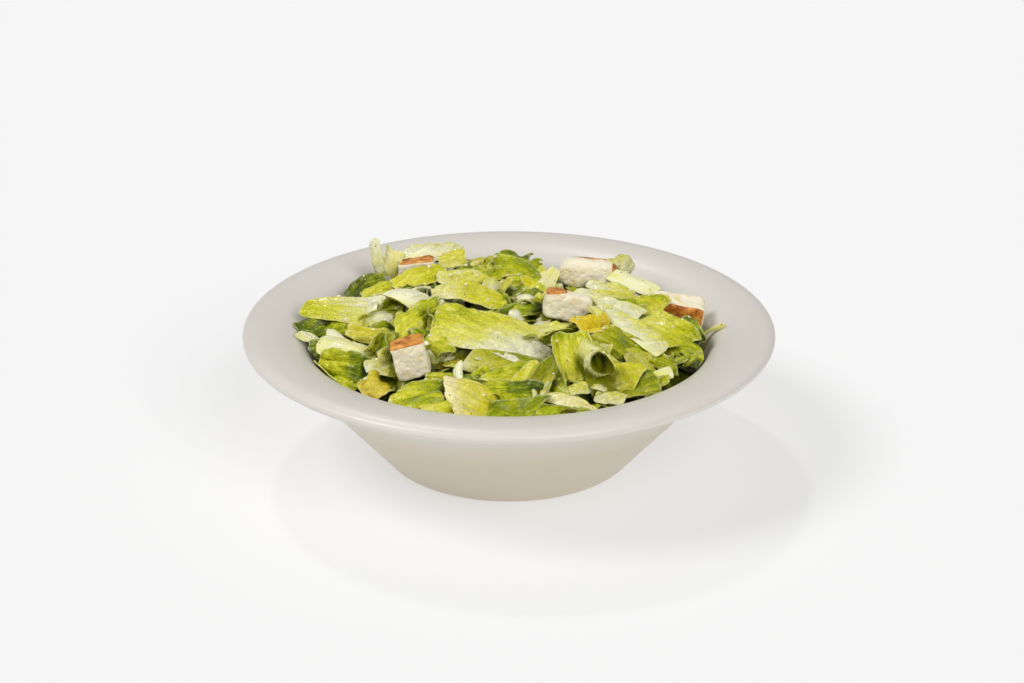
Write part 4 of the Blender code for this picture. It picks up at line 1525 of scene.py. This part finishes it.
def clinging_tree(material):
    """Lays grains from a collection on the open, upward faces of the leaves."""
    inputs = {"Grains": "Collection", "Spacing": "Float", "Smallest": "Float", "Seed": "Int"}
    graph, given, result, identifiers = node_tree("clinging_grains", inputs)
    spread = graph.add("GeometryNodeDistributePointsOnFaces", {
        "Mesh": given.outputs["Geometry"],
        "Distance Min": given.outputs["Spacing"],
        "Density Max": 90000.0,
        "Seed": given.outputs["Seed"],
    }, distribute_method="POISSON")
    open_to_sky = graph.add("GeometryNodeInputNamedAttribute", {"Name": "open_to_sky"}, data_type="FLOAT")
    graph.plug(spread.inputs["Density Factor"], open_to_sky.outputs[0])
    source = graph.add("GeometryNodeCollectionInfo", {
        "Collection": given.outputs["Grains"], "Separate Children": True, "Reset Children": True,
    })
    which = graph.add("FunctionNodeRandomValue", {4: 0, 5: GRAIN_SHAPES - 1, "Seed": 5}, data_type="INT")
    grown = graph.add("FunctionNodeRandomValue", {2: given.outputs["Smallest"], 3: 1.0, "Seed": 6},
                      data_type="FLOAT")
    laid = graph.add("GeometryNodeInstanceOnPoints", {
        "Points": spread.outputs["Points"],
        "Instance": source.outputs[0],
        "Pick Instance": True,
        "Instance Index": which.outputs[2],
        "Rotation": spread.outputs["Rotation"],
        "Scale": grown.outputs[1],
    })
    whole = graph.add("GeometryNodeRealizeInstances", {0: laid.outputs[0]})
    finished = graph.add("GeometryNodeSetMaterial", {0: whole.outputs[0], "Material": material})
    graph.plug(result.inputs[0], finished.outputs[0])
    return graph, identifiers


def open_leaf_faces():
    """The leaves' top surfaces as one plain mesh, with 1 on points that lie open to the sky."""
    all_points, all_faces, all_open = [], [], []
    count = 0
    for made in bpy.context.scene.objects:
        if made.type != "MESH" or "shelter" not in made.data.attributes:
            continue
        mesh = made.data
        size = len(mesh.vertices)
        normals = np.empty(size * 3, np.float32)
        mesh.vertex_normals.foreach_get("vector", normals)
        closed_in = np.empty(size, np.float32)
        mesh.attributes["shelter"].data.foreach_get("value", closed_in)
        corners = np.empty(len(mesh.loops), np.int32)
        mesh.loops.foreach_get("vertex_index", corners)
        up = normals.reshape(-1, 3)[:, 2] > 0.35
        faces = corners.reshape(-1, 4)
        faces = faces[up[faces].all(axis=1)]
        all_points.append(mesh_points(mesh))
        all_open.append(up * (closed_in < 0.25))
        all_faces.append(faces + count)
        count += size
    fields = {"open_to_sky": np.concatenate(all_open).astype(np.float32)}
    blank = bpy.data.materials["dressed_romaine"]
    return mesh_object("open_leaf_faces", np.concatenate(all_points), np.concatenate(all_faces), blank,
                       fields, sharp_degrees=0)


GRAIN_SHAPES = 4

# Of each kind: radius in millimetres, flatness, lumpiness, and its smallest against its largest
DROP = (0.62, 0.36, 0.8, 0.3)
SPECK = (0.36, 0.6, 0.9, 0.5)
CRUMB = (0.9, 0.7, 1.0, 0.3)


class SALAD_OT_dressing(bpy.types.Operator):
    """Lay beads of dressing, specks of pepper and bread crumbs on the leaves"""

    bl_idname = "salad.dressing"
    bl_label = "Dressing"

    def execute(self, context):
        sizes = context.scene.salad_dressing
        dressing, graph, surface = shader("dressing")
        surface.inputs["Base Color"].default_value = tuple(sizes.dressing)
        graph.plug(surface.inputs["Roughness"], graph.span(
            graph.noise(object_coordinates(graph), 300.0, 2.0), 0.3, 0.7, 0.12, 0.30))
        surface.inputs["Coat Weight"].default_value = 0.5
        surface.inputs["Subsurface Weight"].default_value = 0.25
        surface.inputs["Subsurface Scale"].default_value = 0.001
        pepper, graph, surface = shader("pepper")
        tint = graph.span(graph.noise(object_coordinates(graph), 700.0, 2.0), 0.3, 0.7)
        graph.plug(surface.inputs["Base Color"], graph.mix(
            tint, tuple(sizes.pepper), linear(120, 104, 60)))
        surface.inputs["Roughness"].default_value = 0.6
        crumbs = bpy.data.objects["crouton_centre_bread"].data.materials[0]
        carrier_mesh = open_leaf_faces()
        kinds = (
            ("dressing_drops", DROP, dressing, sizes.drop_spacing, "romaine"),
            ("pepper_specks", SPECK, pepper, sizes.speck_spacing, "romaine"),
            ("bread_crumbs", CRUMB, crumbs, sizes.crumb_spacing, "bread"),
        )
        for number, (name, shape_of, material, spacing, slot) in enumerate(kinds):
            radius, flatness, lumpiness, smallest = shape_of
            grains = bpy.data.collections.new(name + "_shapes")
            context.scene.collection.children.link(grains)
            for shape in range(GRAIN_SHAPES):
                grains.objects.link(grain_mesh(f"{name}_{shape}", radius, flatness, lumpiness,
                                               number * 5 + shape, material))
            carrier = carrier_mesh.copy()
            carrier.data = carrier_mesh.data.copy()
            context.scene.collection.objects.link(carrier)
            graph, identifiers = clinging_tree(material)
            add_tree(carrier, graph, identifiers, {
                "Grains": grains, "Spacing": spacing, "Smallest": smallest, "Seed": SEED + number,
            })
            made = realised(carrier, name)
            for grain in list(grains.objects):
                bpy.data.objects.remove(grain, do_unlink=True)
            bpy.data.collections.remove(grains)
            finish_piece(made, slot)
        bpy.data.objects.remove(carrier_mesh, do_unlink=True)
        return {"FINISHED"}


# ---------------------------------------------------------------- the stage


class SALAD_PG_stage(bpy.types.PropertyGroup):
    """Camera, floor and lights."""

    elevation: bpy.props.FloatProperty(
        name="Elevation", description="How far the camera looks down", default=math.radians(23.9),
        subtype="ANGLE",
    )
    distance: bpy.props.FloatProperty(
        name="Distance", description="From the camera to the middle of the bowl", default=1.08,
        unit="LENGTH",
    )
    lens: bpy.props.FloatProperty(
        name="Lens", description="Focal length for a 36 mm wide sensor, in millimetres", default=83.1
    )
    floor_colour: bpy.props.FloatVectorProperty(
        name="Floor", description="Colour of the pale floor", size=4, subtype="COLOR",
        default=(0.45, 0.45, 0.45, 1.0),
    )
    floor_glow: bpy.props.FloatProperty(
        name="Floor Glow", description="How bright the floor is of its own, as a light table", default=0.50
    )
    surround: bpy.props.FloatProperty(
        name="Surround", description="Brightness of the even light from all round", default=0.23
    )
    key: bpy.props.FloatProperty(name="Key", description="Strength of the main soft light", default=1.38)
    fill: bpy.props.FloatProperty(name="Fill", description="Strength of the second light", default=1.35)
    sparkle: bpy.props.FloatProperty(
        name="Sparkle", description="Strength of the small light that wet leaves glint in", default=0.42
    )


# Lights: where each stands, as azimuth and elevation, and how wide it looks
KEY_PLACE = (198, 50, 24)
FILL_PLACE = (-60, 36, 34)
SPARKLE_PLACE = (112, 57, 5)


def soft_light(name, place, strength):
    azimuth, elevation, width = (math.radians(angle) for angle in place)
    lamp = bpy.data.lights.new(name, "SUN")
    lamp.energy = strength
    lamp.angle = width
    made = bpy.data.objects.new(name, lamp)
    towards = Vector((math.cos(elevation) * math.cos(azimuth), math.cos(elevation) * math.sin(azimuth),
                      math.sin(elevation)))
    made.rotation_euler = towards.to_track_quat("Z", "Y").to_euler()
    bpy.context.scene.collection.objects.link(made)
    return made


class SALAD_OT_stage(bpy.types.Operator):
    """Set up the camera, the pale floor and the soft lights"""

    bl_idname = "salad.stage"
    bl_label = "Stage"

    def execute(self, context):
        stage = context.scene.salad_stage
        scene = context.scene
        camera = bpy.data.cameras.new("camera")
        camera.sensor_width = 36.0
        camera.lens = stage.lens
        camera.shift_x = 0.003
        camera.shift_y = 0.0348
        camera.clip_start = 0.01
        camera.clip_end = 100.0
        eye = bpy.data.objects.new("camera", camera)
        back = Vector((0.0, -math.cos(stage.elevation), math.sin(stage.elevation)))
        eye.location = Vector((0.0, 0.0, 0.036)) + back * stage.distance
        eye.rotation_euler = back.to_track_quat("Z", "Y").to_euler()
        scene.collection.objects.link(eye)
        scene.camera = eye

        material, graph, surface = shader("pale_floor")
        surface.inputs["Base Color"].default_value = tuple(stage.floor_colour)
        surface.inputs["Roughness"].default_value = 0.9
        surface.inputs["Specular IOR Level"].default_value = 0.0
        surface.inputs["Emission Color"].default_value = (1.0, 1.0, 1.0, 1.0)
        surface.inputs["Emission Strength"].default_value = stage.floor_glow
        reach = 12000.0
        corners = [(-reach, -reach, 0), (reach, -reach, 0), (reach, reach, 0), (-reach, reach, 0)]
        floor = mesh_object("floor", np.array(corners, float), [(0, 1, 2, 3)], material, sharp_degrees=0)

        world = bpy.data.worlds.new("surround")
        world.use_nodes = True
        background = world.node_tree.nodes["Background"]
        background.inputs["Color"].default_value = (1.0, 1.0, 1.0, 1.0)
        background.inputs["Strength"].default_value = stage.surround
        scene.world = world
        soft_light("key_light", KEY_PLACE, stage.key)
        soft_light("fill_light", FILL_PLACE, stage.fill)
        soft_light("sparkle_light", SPARKLE_PLACE, stage.sparkle)
        scene.view_settings.view_transform = "Standard"
        return {"FINISHED"}


class SALAD_PT_panel(bpy.types.Panel):
    """The steps of the salad, in the order that they run"""

    bl_idname = "SALAD_PT_panel"
    bl_label = "Caesar Salad Bowl"
    bl_space_type = "VIEW_3D"
    bl_region_type = "UI"
    bl_category = "Salad"

    def draw(self, context):
        for operator in OPERATORS:
            self.layout.operator(operator.bl_idname)


GROUPS = {
    "salad_bowl": SALAD_PG_bowl,
    "salad_leaves": SALAD_PG_leaves,
    "salad_croutons": SALAD_PG_croutons,
    "salad_dressing": SALAD_PG_dressing,
    "salad_stage": SALAD_PG_stage,
}
OPERATORS = (
    SALAD_OT_bowl, SALAD_OT_leaves, SALAD_OT_croutons, SALAD_OT_heap, SALAD_OT_dressing, SALAD_OT_stage,
)


def register():
    for group in GROUPS.values():
        bpy.utils.register_class(group)
    for name, group in GROUPS.items():
        setattr(bpy.types.Scene, name, bpy.props.PointerProperty(type=group))
    for operator in OPERATORS:
        bpy.utils.register_class(operator)
    bpy.utils.register_class(SALAD_PT_panel)


def unregister():
    bpy.utils.unregister_class(SALAD_PT_panel)
    for operator in reversed(OPERATORS):
        bpy.utils.unregister_class(operator)
    for name, group in reversed(GROUPS.items()):
        delattr(bpy.types.Scene, name)
        bpy.utils.unregister_class(group)


def main():
    register()
    bpy.ops.salad.bowl()
    bpy.ops.salad.leaves()
    bpy.ops.salad.croutons()
    bpy.ops.salad.heap()
    bpy.ops.salad.dressing()
    bpy.ops.salad.stage()
    bpy.context.view_layer.update()


if __name__ == "__main__":
    main()
